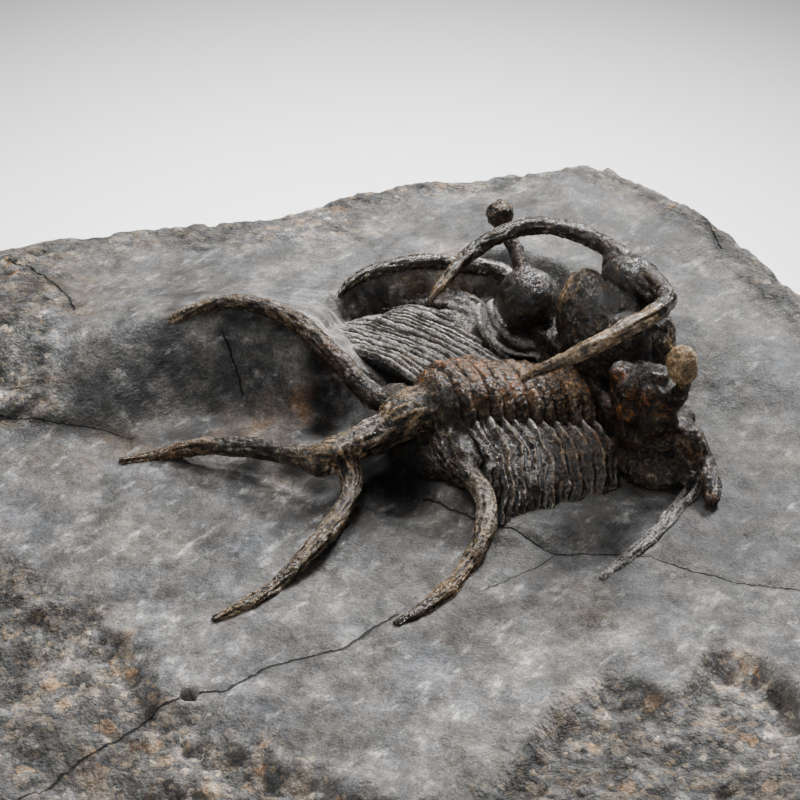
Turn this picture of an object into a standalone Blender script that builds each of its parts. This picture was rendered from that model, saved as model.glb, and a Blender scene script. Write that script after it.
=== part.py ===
"""Spiny trilobite lying on its block of limestone.

The block's frame has +Z up, its origin in the middle of the flat sawn base and X along the
block's long side. The animal has a frame of its own, an empty: X points from its tail to its
head, Y to its left side, and Z up from the level of the furrows beside its middle lobe.
Lengths are in millimetres until a mesh or an object's place is made from them.
"""
import math

import bmesh
import bpy
import numpy as np
from mathutils import Vector

MM = 0.001
CLEARANCE = 0.3
# Facets of the round forms: round them and from bottom to top. Spines have a section every so many millimetres.
SHIELD_FACETS = (24, 12)
FORM_FACETS = (16, 10)
KNOB_FACETS = (10, 6)
TAIL_FACETS = (20, 10)
PATH_SPACING = 2.5

# The block of limestone.
BLOCK_LENGTH = 136.0
BLOCK_DEPTH = 124.0
BED_LEVEL = 30.0
BED_SLOPE_BACK = 0.10
BED_SLOPE_FRONT = 0.125
BED_HINGE_Y = -5.0
FRONT_STEP_DROP = 2.2
FRONT_STEP_WIDTH = 4.5
RIM_DROP = 2.4
RIM_START = 0.93
WALL_LEAN = 0.05
HUB = (0.0, 8.0)
SPOKES = 68
RINGS = 20
WALL_RINGS = 2
RING_SPREAD = 1.15
# Waves of the broken stone: radians per millimetre along X and Y, start and height.
WAVES = [(0.16, 0.13, 0.9, 0.25), (0.16, -0.13, 1.7, 0.25), (0.31, -0.27, 2.0, 0.3), (0.21, 0.52, 0.0, 0.2)]
WALL_WAVES = 7.0
WALL_WAVE_SHIFT = 2.4
WALL_WAVE_SHARE = 0.02
# Plan corners of the block, as shares of half its length and half its depth.
BLOCK_CORNERS = [
    (1.00, -0.08), (0.90, 0.32), (0.73, 0.64), (0.57, 0.90), (0.41, 1.00), (0.18, 0.94),
    (-0.05, 0.87), (-0.28, 0.77), (-0.52, 0.71), (-0.74, 0.65), (-0.95, 0.52), (-1.00, 0.06),
    (-0.94, -0.36), (-0.84, -0.66), (-0.46, -0.95), (0.06, -1.00), (0.62, -0.90), (0.90, -0.52),
]

# The edge of the smooth bowl in front of the animal, past which the stone steps down.
STEP_X = [-60.0, -45.0, -37.0, -26.0, -17.0, -5.0, 4.0, 12.0, 19.0, 24.0, 31.0, 35.0, 39.0, 43.0, 68.0]
STEP_Y = [12.0, -1.0, -7.0, -15.0, -28.0, -37.0, -45.0, -42.0, -31.0, -26.0, -29.0, -22.0, -23.0, -29.0, -34.0]

# The bank behind the animal: where its crest runs, how high the crest and the ground behind it
# stand, and how wide its face is.
BANK_X = [-71.0, -46.0, -36.0, -27.0, -21.0, -13.5, -7.0, -4.0, -1.0, 4.0, 10.0, 16.0, 24.0, 34.0, 49.0, 68.0]
BANK_Y = [40.0, 32.0, 25.0, 21.0, 22.0, 22.2, 19.3, 18.0, 22.0, 30.0, 35.5, 38.0, 39.0, 36.0, 28.0, 20.0]
BANK_TOP = [37.5, 38.3, 38.6, 39.0, 40.0, 41.0, 40.0, 38.2, 37.0, 37.4, 38.4, 38.6, 38.0, 36.8, 34.0, 31.5]
BANK_BACK = [37.5, 38.3, 38.6, 38.7, 38.7, 38.7, 38.7, 38.7, 38.8, 39.1, 39.4, 39.6, 40.3, 38.5, 34.9, 30.8]
BANK_FACE = [30.0, 24.0, 16.0, 11.0, 9.0, 8.0, 7.5, 6.0, 5.0, 6.0, 6.0, 7.0, 12.0, 20.0, 25.0, 25.0]
PLATEAU_RUN = 9.0

# The animal on the block.
HEADING = math.radians(29.0)
ANIMAL_AT = (12.5, 9.5, 35.0)
SEGMENTS = 10
THORAX_FRONT = 11.8
THORAX_BACK = -4.6
AXIS_HALF_WIDTH = 4.3
AXIS_RISE = 4.4
FLAT_TO = 6.5
LEFT_REACH = 22.0
RIGHT_REACH = 13.8
LEFT_EDGE = 1.2
RIGHT_EDGE = -3.4
LEFT_SWEEP = 0.033
RIGHT_SWEEP = 0.048
LEFT_TIP_LINE = -6.8
RIGHT_TIP_LINE = -4.4
BED_UNDER_LEFT = 0.0
BED_UNDER_AXIS = -3.0
BED_UNDER_RIGHT = -4.5
# The ground that the animal covers, the hollow under its tail and the moat worked out beside its left cheek
# spine, each as a middle and its half sizes forward and to the left, with depths.
FOOTPRINT = ((6.5, 3.0), (15.0, 20.5))
FOOTPRINT_BLEND = 5.3
TAIL_HOLLOW = ((-12.5, -5.0), (5.0, 4.5))
TAIL_HOLLOW_DEPTH = 1.2
MOAT = ((5.5, 24.6), (10.5, 1.7))
MOAT_DEPTH = 2.2
MOAT_WIDTH = 1.4
# Waves of the stone: the smooth ground round the middle, and how high they stand in it and past it.
SMOOTH_MIDDLE = (8.0, 4.0)
SMOOTH_RADII = (52.0, 40.0)
SMOOTH_START = 0.8
SMOOTH_BLEND = 0.4
WAVE_WORKED = 0.15
WAVE_BROKEN = 0.75
# Height of the furrows beside the middle lobe, along the arched back.
BACK_AT = [-9.0, -5.0, -2.0, 0.0, 2.4, 5.0, 8.0, 12.0]
BACK_LEVEL = [0.4, 1.3, 1.4, 1.0, 0.0, -0.8, -1.8, -3.0]
EDGE_CURVE = 1.25
# Where a segment's section is set: shares of its reach on each side, and of the middle lobe's half width.
SIDE_STATIONS = [1.0, 0.86, 0.7, 0.54, 0.4]
LOBE_STATIONS = [-0.99, -0.93, -0.75, -0.4, 0.0, 0.4, 0.75, 0.93, 0.99]
# A segment's rounded top: shares of its width from front to back, and how far each place lies under the crest.
RIB_TOP = [(0.0, -0.34), (0.5, 0.0), (1.0, -0.36)]
THINNEST_RIB = 0.35
TIP_TAPER = 0.85
TAPER_FROM = 10.0

# Head.
ROLL = 0.12
EYE = (12.6, 11.3, 4.6)
EYE_RADIUS = 3.5
KNOB = (13.2, 18.5, 11.6)
KNOB_RADIUS = 1.55
SHIELD = ((13.4, 0.5, -5.0), (9.4, 18.0, 7.2))
# Forms in the middle of the head, and forms that it has on both sides: centre and radii.
MIDDLE_FORMS = {
    "glabella": ((17.2, 0.0, 3.6), (5.9, 6.6, 7.4)),
    "occipital_ring": ((13.0, 0.0, -0.4), (1.8, 4.4, 3.9)),
    "horn_base": ((18.7, 0.0, 10.9), (2.4, 3.4, 2.3)),
}
PAIRED_FORMS = {
    "lobe": ((14.6, 5.3, 5.9), (3.0, 2.7, 4.6)),
    "eye": (EYE, (EYE_RADIUS, EYE_RADIUS, EYE_RADIUS)),
    "eye_base": ((13.2, 10.6, 0.4), (3.7, 4.6, 3.6)),
    "knob": (KNOB, (KNOB_RADIUS, KNOB_RADIUS, KNOB_RADIUS)),
}
HEAD_BACK_LOW = (-20.0, -19.5, -12.0)
HEAD_BACK_HIGH = (THORAX_FRONT + CLEARANCE, 19.9, 2.2)
EYE_STALK = [(13.0, 12.2, 6.4, 1.25), (13.2, 15.0, 8.6, 1.05), (*KNOB, 0.95)]
HORN = [
    (19.0, 0.6, 11.6, 1.25), (18.9, 3.4, 12.2, 1.15), (18.2, 7.2, 12.4, 1.03), (16.3, 9.8, 13.0, 1.0),
    (13.4, 11.6, 13.3, 0.97), (9.8, 12.3, 12.9, 0.95), (6.0, 12.1, 11.8, 0.87), (2.8, 11.1, 10.4, 0.72),
    (0.4, 10.1, 9.3, 0.5), (-0.9, 9.7, 8.3, 0.22),
]
LEFT_CHEEK_SPINE = [
    (14.6, 15.5, -0.4, 1.3), (15.9, 19.2, 1.5, 1.15), (14.9, 21.7, 2.8, 1.0), (12.0, 23.0, 3.6, 0.95),
    (7.5, 24.2, 4.7, 0.87), (3.0, 25.2, 4.8, 0.78), (-0.8, 25.6, 4.1, 0.65), (-5.3, 24.7, 2.2, 0.35),
]
RIGHT_CHEEK_SPINE = [
    (14.2, -12.8, -0.6, 1.5), (15.9, -14.8, 0.6, 1.3), (16.7, -16.3, -1.0, 1.2), (16.9, -18.0, -2.8, 1.1),
    (16.2, -20.2, -4.0, 0.95), (15.0, -21.8, -4.6, 0.75),
]
RIGHT_CHEEK_TRACE = [
    (15.9, -17.4, 1.1), (14.2, -18.9, 1.0), (11.8, -20.2, 0.9), (7.8, -22.4, 0.8), (3.6, -24.2, 0.7),
    (-0.9, -25.8, 0.4),
]
TRACE_SUNK = 0.6

# Tail.
TAIL_SHIELD = ((-6.6, 0.3, -2.0), (4.2, 7.6, 3.9))
TAIL_FRONT_LOW = (THORAX_BACK - CLEARANCE, -13.0, -9.0)
TAIL_FRONT_HIGH = (4.0, 13.0, 9.0)
TAIL_STEM = [
    (-5.2, 0.2, 1.9, 3.6), (-8.3, 0.1, 1.5, 2.9), (-11.4, 0.0, 0.5, 2.25), (-15.0, 0.0, -0.1, 1.85),
    (-18.4, 0.2, -0.7, 1.65), (-20.2, 0.6, -1.2, 1.35),
]
LEFT_FORK = [
    (-18.2, 0.6, -1.0, 1.45), (-20.5, 3.6, -1.6, 1.2), (-23.3, 7.6, -2.0, 1.05), (-27.5, 11.3, -2.6, 0.9),
]
LEFT_FORK_LYING = [(-31.4, 14.4, 0.72), (-35.2, 15.4, 0.42)]
RIGHT_FORK = [
    (-16.4, -0.6, -1.4, 1.4), (-17.2, -3.2, -2.8, 1.15), (-19.4, -5.4, -3.7, 1.05), (-22.6, -7.8, -4.3, 1.0),
    (-26.7, -9.8, -5.4, 0.92),
]
RIGHT_FORK_LYING = [(-29.7, -10.8, 0.85), (-33.1, -11.9, 0.7), (-38.0, -12.5, 0.4)]
RIGHT_SICKLE = [
    (-6.4, -2.6, 0.2, 1.5), (-6.7, -5.8, -1.0, 1.25), (-6.4, -9.0, -1.5, 1.15), (-6.8, -12.8, -2.7, 1.1),
    (-8.8, -15.8, -4.3, 1.05),
]
RIGHT_SICKLE_LYING = [(-11.8, -17.8, 0.98), (-15.0, -19.7, 0.92), (-18.6, -21.1, 0.75), (-22.4, -21.9, 0.45)]
LEFT_SICKLE = [
    (-5.6, 2.4, 0.8, 1.6), (-8.9, 6.6, 0.4, 1.3), (-10.6, 10.5, 2.8, 1.15), (-11.9, 14.3, 4.7, 1.05),
    (-12.9, 17.3, 5.7, 1.0), (-15.0, 20.6, 6.5, 0.95), (-17.5, 23.1, 6.6, 0.85), (-20.6, 25.0, 5.8, 0.72),
    (-24.8, 26.6, 3.7, 0.45),
]

SHELL_COLOUR = (0.060, 0.047, 0.036, 1.0)
SHELL_ROUGHNESS = 0.38
STONE_COLOUR = (0.270, 0.272, 0.280, 1.0)
STONE_ROUGHNESS = 0.86


def clear_scene():
    """Remove what the scene holds."""
    for item in list(bpy.data.objects):
        bpy.data.objects.remove(item, do_unlink=True)


def new_collection(name):
    """Make a collection in the scene."""
    group = bpy.data.collections.new(name)
    bpy.context.scene.collection.children.link(group)
    return group


def new_material(name, colour, roughness):
    """Make a plain Principled material."""
    finish = bpy.data.materials.new(name)
    finish.use_nodes = True
    shader = finish.node_tree.nodes["Principled BSDF"]
    shader.inputs["Base Color"].default_value = colour
    shader.inputs["Roughness"].default_value = roughness
    shader.inputs["Metallic"].default_value = 0.0
    finish.diffuse_color = colour
    return finish


def smoothstep(share):
    """Ease a share from 0 to 1."""
    share = min(1.0, max(0.0, share))
    return share * share * (3.0 - 2.0 * share)


def to_block(forward, left):
    """Turn a place on the animal into a place on the block, in plan."""
    x = ANIMAL_AT[0] + forward * math.cos(HEADING) - left * math.sin(HEADING)
    y = ANIMAL_AT[1] + forward * math.sin(HEADING) + left * math.cos(HEADING)
    return x, y


def to_animal(x, y):
    """Turn a place on the block into a place on the animal, in plan."""
    dx = x - ANIMAL_AT[0]
    dy = y - ANIMAL_AT[1]
    forward = dx * math.cos(HEADING) + dy * math.sin(HEADING)
    left = dy * math.cos(HEADING) - dx * math.sin(HEADING)
    return forward, left


def lumps(x, y):
    """Slow waves of the broken stone, between about -1 and 1."""
    total = 0.0
    for along_x, along_y, start, height in WAVES:
        total += height * math.sin(along_x * x + along_y * y + start)
    return total


def open_ground(x, y):
    """Height of the stone away from the animal: a slope with a bank behind it."""
    slope = BED_SLOPE_BACK if y > BED_HINGE_Y else BED_SLOPE_FRONT
    low = BED_LEVEL - 0.5 + slope * (y - BED_HINGE_Y)
    low -= FRONT_STEP_DROP * smoothstep((np.interp(x, STEP_X, STEP_Y) - y) / FRONT_STEP_WIDTH)
    crest_y = np.interp(x, BANK_X, BANK_Y)
    crest = np.interp(x, BANK_X, BANK_TOP)
    face = np.interp(x, BANK_X, BANK_FACE)
    if y > crest_y:
        behind = np.interp(x, BANK_X, BANK_BACK)
        return crest + (behind - crest) * smoothstep((y - crest_y) / PLATEAU_RUN)
    return low + (crest - low) * smoothstep(1.0 - (crest_y - y) / face)


def shares_of(first, second, oval):
    """How far a place lies from an oval's middle, in its two half sizes."""
    middle, radii = oval
    return (first - middle[0]) / radii[0], (second - middle[1]) / radii[1]


def bed_under(left):
    """Height of the stone under the animal, in the animal's frame."""
    places = [-RIGHT_REACH, 0.0, LEFT_REACH]
    return np.interp(left, places, [BED_UNDER_RIGHT, BED_UNDER_AXIS, BED_UNDER_LEFT])


def stone_height(x, y):
    """Height of the stone's surface above the base."""
    forward, left = to_animal(x, y)
    forward_share, left_share = shares_of(forward, left, FOOTPRINT)
    reach = (abs(forward_share) ** 3 + abs(left_share) ** 3) ** (1.0 / 3.0)
    away = smoothstep((reach - 1.0) * FOOTPRINT_BLEND)
    bed = ANIMAL_AT[2] + bed_under(left)
    height = bed + (open_ground(x, y) - bed) * away
    height -= TAIL_HOLLOW_DEPTH * smoothstep(1.0 - math.hypot(*shares_of(forward, left, TAIL_HOLLOW)))
    height -= MOAT_DEPTH * smoothstep(MOAT_WIDTH - math.hypot(*shares_of(forward, left, MOAT)))
    out = math.hypot(*shares_of(x, y, (SMOOTH_MIDDLE, SMOOTH_RADII)))
    broken = smoothstep((out - SMOOTH_START) / SMOOTH_BLEND)
    return height + lumps(x, y) * (WAVE_WORKED + WAVE_BROKEN * broken)


def stone_at(forward, left):
    """Height of the stone at a place on the animal, in the animal's frame."""
    x, y = to_block(forward, left)
    return stone_height(x, y) - ANIMAL_AT[2]


def rim_radius(angle):
    """Distance from the hub to the block's edge in one direction, in plan."""
    direction = (math.cos(angle), math.sin(angle))
    corners = []
    for share_x, share_y in BLOCK_CORNERS:
        corners.append((share_x * BLOCK_LENGTH / 2.0 - HUB[0], share_y * BLOCK_DEPTH / 2.0 - HUB[1]))
    for index, (ax, ay) in enumerate(corners):
        bx, by = corners[(index + 1) % len(corners)]
        ex, ey = bx - ax, by - ay
        cross = direction[0] * ey - direction[1] * ex
        if abs(cross) < 1e-9:
            continue
        distance = (ax * ey - ay * ex) / cross
        along = (ax * direction[1] - ay * direction[0]) / cross
        if distance > 0.0 and 0.0 <= along <= 1.0:
            return distance
    return BLOCK_DEPTH / 2.0


def spoke_angles():
    """Directions of the spokes: even ones, moved onto the block's outermost corners."""
    angles = [2.0 * math.pi * spoke / SPOKES for spoke in range(SPOKES)]
    for share_x, share_y in BLOCK_CORNERS:
        if max(abs(share_x), abs(share_y)) < 1.0:
            continue
        corner = math.atan2(share_y * BLOCK_DEPTH / 2.0 - HUB[1], share_x * BLOCK_LENGTH / 2.0 - HUB[0])
        corner %= 2.0 * math.pi
        nearest = min(range(SPOKES), key=lambda spoke: abs(angles[spoke] - corner))
        angles[nearest] = corner
    return angles


def block_mesh(name, raised):
    """Mesh of the block: rings of its top surface, its broken sides and its flat base."""
    mesh = bmesh.new()
    angles = spoke_angles()
    hub = mesh.verts.new(Vector((HUB[0], HUB[1], stone_height(*HUB) + raised)) * MM)
    rings = []
    for ring in range(1, RINGS + 1):
        share = (ring / RINGS) ** RING_SPREAD
        row = []
        for angle in angles:
            reach = rim_radius(angle) * share
            x = HUB[0] + reach * math.cos(angle)
            y = HUB[1] + reach * math.sin(angle)
            z = stone_height(x, y) + raised
            z -= RIM_DROP * smoothstep((share - RIM_START) / (1.0 - RIM_START))
            row.append(mesh.verts.new(Vector((x, y, z)) * MM))
        rings.append(row)
    for ring in range(1, WALL_RINGS + 1):
        share = ring / WALL_RINGS
        row = []
        for spoke, angle in enumerate(angles):
            top = rings[RINGS - 1][spoke].co / MM
            wave = 1.0 + math.sin(WALL_WAVES * angle + WALL_WAVE_SHIFT * ring)
            lean = WALL_LEAN * share + WALL_WAVE_SHARE * wave * (share < 1.0)
            x = HUB[0] + (top.x - HUB[0]) * (1.0 - lean)
            y = HUB[1] + (top.y - HUB[1]) * (1.0 - lean)
            row.append(mesh.verts.new(Vector((x, y, top.z * (1.0 - share))) * MM))
        rings.append(row)
    foot = mesh.verts.new(Vector((HUB[0], HUB[1], 0.0)) * MM)
    for spoke in range(SPOKES):
        after = (spoke + 1) % SPOKES
        mesh.faces.new((hub, rings[0][spoke], rings[0][after]))
        for inner, outer in zip(rings, rings[1:]):
            mesh.faces.new((inner[spoke], outer[spoke], outer[after], inner[after]))
        mesh.faces.new((rings[-1][after], rings[-1][spoke], foot))
    data = bpy.data.meshes.new(name)
    mesh.to_mesh(data)
    mesh.free()
    return data


def hide_helper(item, cutters):
    """Keep a helper out of the finished object."""
    item.hide_render = True
    item.display_type = "WIRE"
    cutters.objects.link(item)


def combine(target, helper, operation):
    """Join a helper to an object, or cut it out of it."""
    modifier = target.modifiers.new(helper.name, "BOOLEAN")
    modifier.operation = operation
    modifier.solver = "EXACT"
    modifier.object = helper


def ellipsoid(name, centre, radii, facets):
    """Sphere stretched to its three radii, in the animal's frame."""
    mesh = bmesh.new()
    bmesh.ops.create_uvsphere(mesh, u_segments=facets[0], v_segments=facets[1], radius=1.0)
    for vertex in mesh.verts:
        scaled = [c + r * v for c, r, v in zip(centre, radii, vertex.co)]
        vertex.co = Vector(scaled) * MM
    data = bpy.data.meshes.new(name)
    mesh.to_mesh(data)
    mesh.free()
    return bpy.data.objects.new(name, data)


def smooth_path(points):
    """Points of a Catmull-Rom curve through the given ones; the last value is the radius."""
    ends = [points[0]] + list(points) + [points[-1]]
    path = []
    for before, start, stop, after in zip(ends, ends[1:], ends[2:], ends[3:]):
        steps = max(1, round(math.dist(start[:3], stop[:3]) / PATH_SPACING))
        for step in range(steps):
            t = step / steps
            place = []
            for a, b, c, d in zip(before, start, stop, after):
                curve = 2.0 * b + (c - a) * t + (2.0 * a - 5.0 * b + 4.0 * c - d) * t ** 2
                place.append((curve + (3.0 * b - a - 3.0 * c + d) * t ** 3) / 2.0)
            path.append(place)
    path.append(list(points[-1]))
    return path


def lying(points, sunk=0.35):
    """Give points that lie on the stone their height, sunk by a share of their radius."""
    return [(f, left, stone_at(f, left) + radius * (1.0 - sunk), radius) for f, left, radius in points]


def spine(name, points):
    """Tapered tube along points that hold a place and a radius, as a closed mesh."""
    path = smooth_path(points)
    curve = bpy.data.curves.new(name + "_path", "CURVE")
    curve.dimensions = "3D"
    curve.bevel_depth = MM
    curve.bevel_resolution = 2
    curve.use_fill_caps = True
    line = curve.splines.new("POLY")
    line.points.add(len(path) - 1)
    for point, (f, left, up, radius) in zip(line.points, path):
        point.co = (f * MM, left * MM, up * MM, 1.0)
        point.radius = radius
    holder = bpy.data.objects.new(name + "_path", curve)
    bpy.context.scene.collection.objects.link(holder)
    bpy.context.view_layer.update()
    evaluated = holder.evaluated_get(bpy.context.evaluated_depsgraph_get())
    data = bpy.data.meshes.new_from_object(evaluated)
    bpy.data.objects.remove(holder, do_unlink=True)
    mesh = bmesh.new()
    mesh.from_mesh(data)
    bmesh.ops.remove_doubles(mesh, verts=mesh.verts, dist=0.00001)
    bmesh.ops.recalc_face_normals(mesh, faces=mesh.faces)
    mesh.to_mesh(data)
    mesh.free()
    data.name = name
    return bpy.data.objects.new(name, data)


def on_side(points, side):
    """Points of the animal's left side, moved to its right side where side is -1."""
    return [(f, side * left, up, radius) for f, left, up, radius in points]


def box(name, low, high):
    """Box between two corners, in the animal's frame."""
    mesh = bmesh.new()
    bmesh.ops.create_cube(mesh, size=1.0)
    for vertex in mesh.verts:
        placed = [(a + b) / 2.0 + (b - a) * v for a, b, v in zip(low, high, vertex.co)]
        vertex.co = Vector(placed) * MM
    data = bpy.data.meshes.new(name)
    mesh.to_mesh(data)
    mesh.free()
    return bpy.data.objects.new(name, data)


def grown_piece(name, base, growths, cuts, stone_cutter, animal, fossil, cutters, finish):
    """One grown piece: its base with its growths joined on, cut off where the stone begins."""
    base.name = name
    base.data.name = name
    base.parent = animal
    base.data.materials.clear()
    base.data.materials.append(finish)
    fossil.objects.link(base)
    for growth in growths:
        growth.parent = animal
        hide_helper(growth, cutters)
        combine(base, growth, "UNION")
    for cut in cuts:
        cut.parent = animal
        hide_helper(cut, cutters)
        combine(base, cut, "DIFFERENCE")
    combine(base, stone_cutter, "DIFFERENCE")
    return base


def head(stone_cutter, animal, fossil, cutters, finish):
    """Head shield with its glabella, stalked eyes, horns and cheek spines."""
    shield = ellipsoid("shield", *SHIELD, SHIELD_FACETS)
    for vertex in shield.data.vertices:
        vertex.co.z += ROLL * vertex.co.y
    growths = [ellipsoid(name, *form, FORM_FACETS) for name, form in MIDDLE_FORMS.items()]
    for side, label in ((1.0, "left_"), (-1.0, "right_")):
        for name, (centre, radii) in PAIRED_FORMS.items():
            facets = KNOB_FACETS if name == "knob" else FORM_FACETS
            growths.append(ellipsoid(label + name, (centre[0], side * centre[1], centre[2]), radii, facets))
        growths.append(spine(label + "stalk", on_side(EYE_STALK, side)))
        growths.append(spine(label + "horn", on_side(HORN, side)))
    growths.append(spine("left_cheek_spine", LEFT_CHEEK_SPINE))
    growths.append(spine("right_cheek_spine", RIGHT_CHEEK_SPINE))
    growths.append(spine("right_cheek_trace", lying(RIGHT_CHEEK_TRACE, TRACE_SUNK)))
    back_cut = box("back_of_head", HEAD_BACK_LOW, HEAD_BACK_HIGH)
    return grown_piece("cephalon", shield, growths, [back_cut], stone_cutter, animal, fossil, cutters, finish)


def back_height(start, left):
    """Height of the shell's top on the line of one segment."""
    base = np.interp(start, BACK_AT, BACK_LEVEL)
    span = abs(left)
    if span < AXIS_HALF_WIDTH:
        return base + AXIS_RISE * math.sqrt(1.0 - (span / AXIS_HALF_WIDTH) ** 2)
    edge = LEFT_EDGE if left > 0.0 else RIGHT_EDGE
    reach = LEFT_REACH if left > 0.0 else RIGHT_REACH
    share = max(0.0, (span - FLAT_TO) / (reach - FLAT_TO))
    return base + (edge - base) * min(1.0, share) ** EDGE_CURVE


def swept(start, left):
    """How far forward a segment's line lies at a place to the left of the middle."""
    bend = LEFT_SWEEP if left > 0.0 else RIGHT_SWEEP
    return start - bend * max(0.0, abs(left) - FLAT_TO) ** 2


def segment_reach(start, side):
    """Half width of a segment on one side: the last ones end on the tail's front line."""
    bend = LEFT_SWEEP if side > 0.0 else RIGHT_SWEEP
    widest = LEFT_REACH if side > 0.0 else RIGHT_REACH
    tips = LEFT_TIP_LINE if side > 0.0 else RIGHT_TIP_LINE
    return min(widest, FLAT_TO + math.sqrt(max(0.5, start - tips) / bend))


def thorax_segment(number, animal, fossil, finish):
    """One segment of the thorax: a rounded rib that crosses the back from edge to edge."""
    pitch = (THORAX_FRONT - THORAX_BACK) / SEGMENTS
    front = THORAX_FRONT - number * pitch
    width = pitch - CLEARANCE
    places = [-share * segment_reach(front, -1.0) for share in SIDE_STATIONS]
    places += [share * AXIS_HALF_WIDTH for share in LOBE_STATIONS]
    places += [share * segment_reach(front, 1.0) for share in reversed(SIDE_STATIONS)]
    mesh = bmesh.new()
    rows = []
    for left in places:
        taper = 1.0 if abs(left) < TAPER_FROM else TIP_TAPER
        top = back_height(front, left)
        profile = [(0.0, None)] + RIB_TOP + [(1.0, None)]
        row = []
        for share, dip in profile:
            forward = swept(front, left) - share * width * taper
            under = stone_at(forward, left) + CLEARANCE
            height = under if dip is None else max(top + dip, under + THINNEST_RIB)
            row.append(mesh.verts.new(Vector((forward, left, height)) * MM))
        rows.append(row)
    for right_row, left_row in zip(rows, rows[1:]):
        for index in range(len(right_row)):
            after = (index + 1) % len(right_row)
            mesh.faces.new((right_row[index], left_row[index], left_row[after], right_row[after]))
    mesh.faces.new(rows[0])
    mesh.faces.new(list(reversed(rows[-1])))
    bmesh.ops.recalc_face_normals(mesh, faces=mesh.faces)
    name = f"thorax_segment_{number + 1:02d}"
    data = bpy.data.meshes.new(name)
    mesh.to_mesh(data)
    mesh.free()
    data.materials.append(finish)
    segment = bpy.data.objects.new(name, data)
    segment.parent = animal
    fossil.objects.link(segment)
    return segment


def tail(stone_cutter, animal, fossil, cutters, finish):
    """Tail shield with its forked stem and its two sickle spines."""
    stem = spine("tail_stem", TAIL_STEM)
    growths = [
        ellipsoid("tail_shield", *TAIL_SHIELD, TAIL_FACETS),
        spine("left_fork", LEFT_FORK + lying(LEFT_FORK_LYING)),
        spine("right_fork", RIGHT_FORK + lying(RIGHT_FORK_LYING)),
        spine("right_sickle", RIGHT_SICKLE + lying(RIGHT_SICKLE_LYING)),
        spine("left_sickle", LEFT_SICKLE),
    ]
    front_cut = box("front_of_tail", TAIL_FRONT_LOW, TAIL_FRONT_HIGH)
    return grown_piece("pygidium", stem, growths, [front_cut], stone_cutter, animal, fossil, cutters, finish)


def build():
    """Build the block and the animal on it."""
    clear_scene()
    fossil = new_collection("spiny_trilobite")
    cutters = new_collection("cutters")
    shell = new_material("shell", SHELL_COLOUR, SHELL_ROUGHNESS)
    stone = new_material("stone", STONE_COLOUR, STONE_ROUGHNESS)
    block = bpy.data.objects.new("matrix", block_mesh("matrix", 0.0))
    block.data.materials.append(stone)
    fossil.objects.link(block)
    stone_cutter = bpy.data.objects.new("stone_cutter", block_mesh("stone_cutter", CLEARANCE))
    hide_helper(stone_cutter, cutters)
    animal = bpy.data.objects.new("animal", None)
    animal.location = Vector(ANIMAL_AT) * MM
    animal.rotation_euler = (0.0, 0.0, HEADING)
    fossil.objects.link(animal)
    head(stone_cutter, animal, fossil, cutters, shell)
    for number in range(SEGMENTS):
        thorax_segment(number, animal, fossil, shell)
    tail(stone_cutter, animal, fossil, cutters, shell)


build()
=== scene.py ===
"""Spiny trilobite on its block of limestone: the finished surfaces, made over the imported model.

Lengths are in millimetres, and every shape is made in the animal's frame (forward, left, up) or
in the block's. A finished mesh is turned to its place and to metres when its object is made.
"""
import math
from itertools import product

import bmesh
import bpy
import numpy as np
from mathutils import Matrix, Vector


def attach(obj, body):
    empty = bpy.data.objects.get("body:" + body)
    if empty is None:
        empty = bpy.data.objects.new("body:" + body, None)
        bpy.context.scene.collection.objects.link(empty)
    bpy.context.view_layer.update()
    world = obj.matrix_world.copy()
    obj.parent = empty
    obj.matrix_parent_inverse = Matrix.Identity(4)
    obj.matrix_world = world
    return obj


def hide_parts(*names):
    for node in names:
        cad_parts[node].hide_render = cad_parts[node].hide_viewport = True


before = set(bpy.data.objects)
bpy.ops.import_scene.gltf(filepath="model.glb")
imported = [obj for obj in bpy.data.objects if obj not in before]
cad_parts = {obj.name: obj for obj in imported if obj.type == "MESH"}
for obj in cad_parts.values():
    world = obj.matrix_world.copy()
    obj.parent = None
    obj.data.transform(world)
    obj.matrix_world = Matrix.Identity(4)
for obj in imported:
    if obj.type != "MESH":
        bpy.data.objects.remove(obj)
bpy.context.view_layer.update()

MM = 0.001

# The camera stands where the photograph was taken from.
CAMERA_AIM = (4.0, 20.0, 30.0)
CAMERA_DISTANCE = 350.0
CAMERA_ABOVE = math.radians(30.0)
LENS = 143.5

# The block of limestone. The edge of its bowl, past which it steps down, is given in plan. So is the
# crest of the bank behind the animal, with the height of the crest, the height of the ground behind it
# and the width of its face.
BLOCK_LENGTH = 136.0
BLOCK_DEPTH = 124.0
BED_LEVEL = 29.5
BED_SLOPE_BACK = 0.10
BED_SLOPE_FRONT = 0.125
BED_HINGE_Y = -5.0
FRONT_STEP_DROP = 2.2
FRONT_STEP_WIDTH = 2.4
RIM_DROP = 2.4
RIM_START = 0.93
WALL_LEAN = 0.05
HUB = (0.0, 8.0)
SPOKES = 540
RINGS = 150
WALL_RINGS = 16
BLOCK_CORNERS = [
    (1.00, -0.08), (0.90, 0.32), (0.73, 0.64), (0.57, 0.90), (0.41, 1.00), (0.18, 0.94),
    (-0.05, 0.87), (-0.28, 0.77), (-0.52, 0.71), (-0.74, 0.65), (-0.95, 0.52), (-1.00, 0.06),
    (-0.94, -0.36), (-0.84, -0.66), (-0.46, -0.95), (0.06, -1.00), (0.62, -0.90), (0.90, -0.52),
]
STEP_X = [-60.0, -45.0, -37.0, -26.0, -17.0, -5.0, 4.0, 12.0, 19.0, 24.0, 31.0, 35.0, 39.0, 43.0, 68.0]
STEP_Y = [
    12.0, -1.0, -7.0, -15.0, -28.0, -37.0, -45.0, -42.0, -31.0, -26.0, -29.0, -22.0, -23.0, -29.0, -34.0,
]
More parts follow.
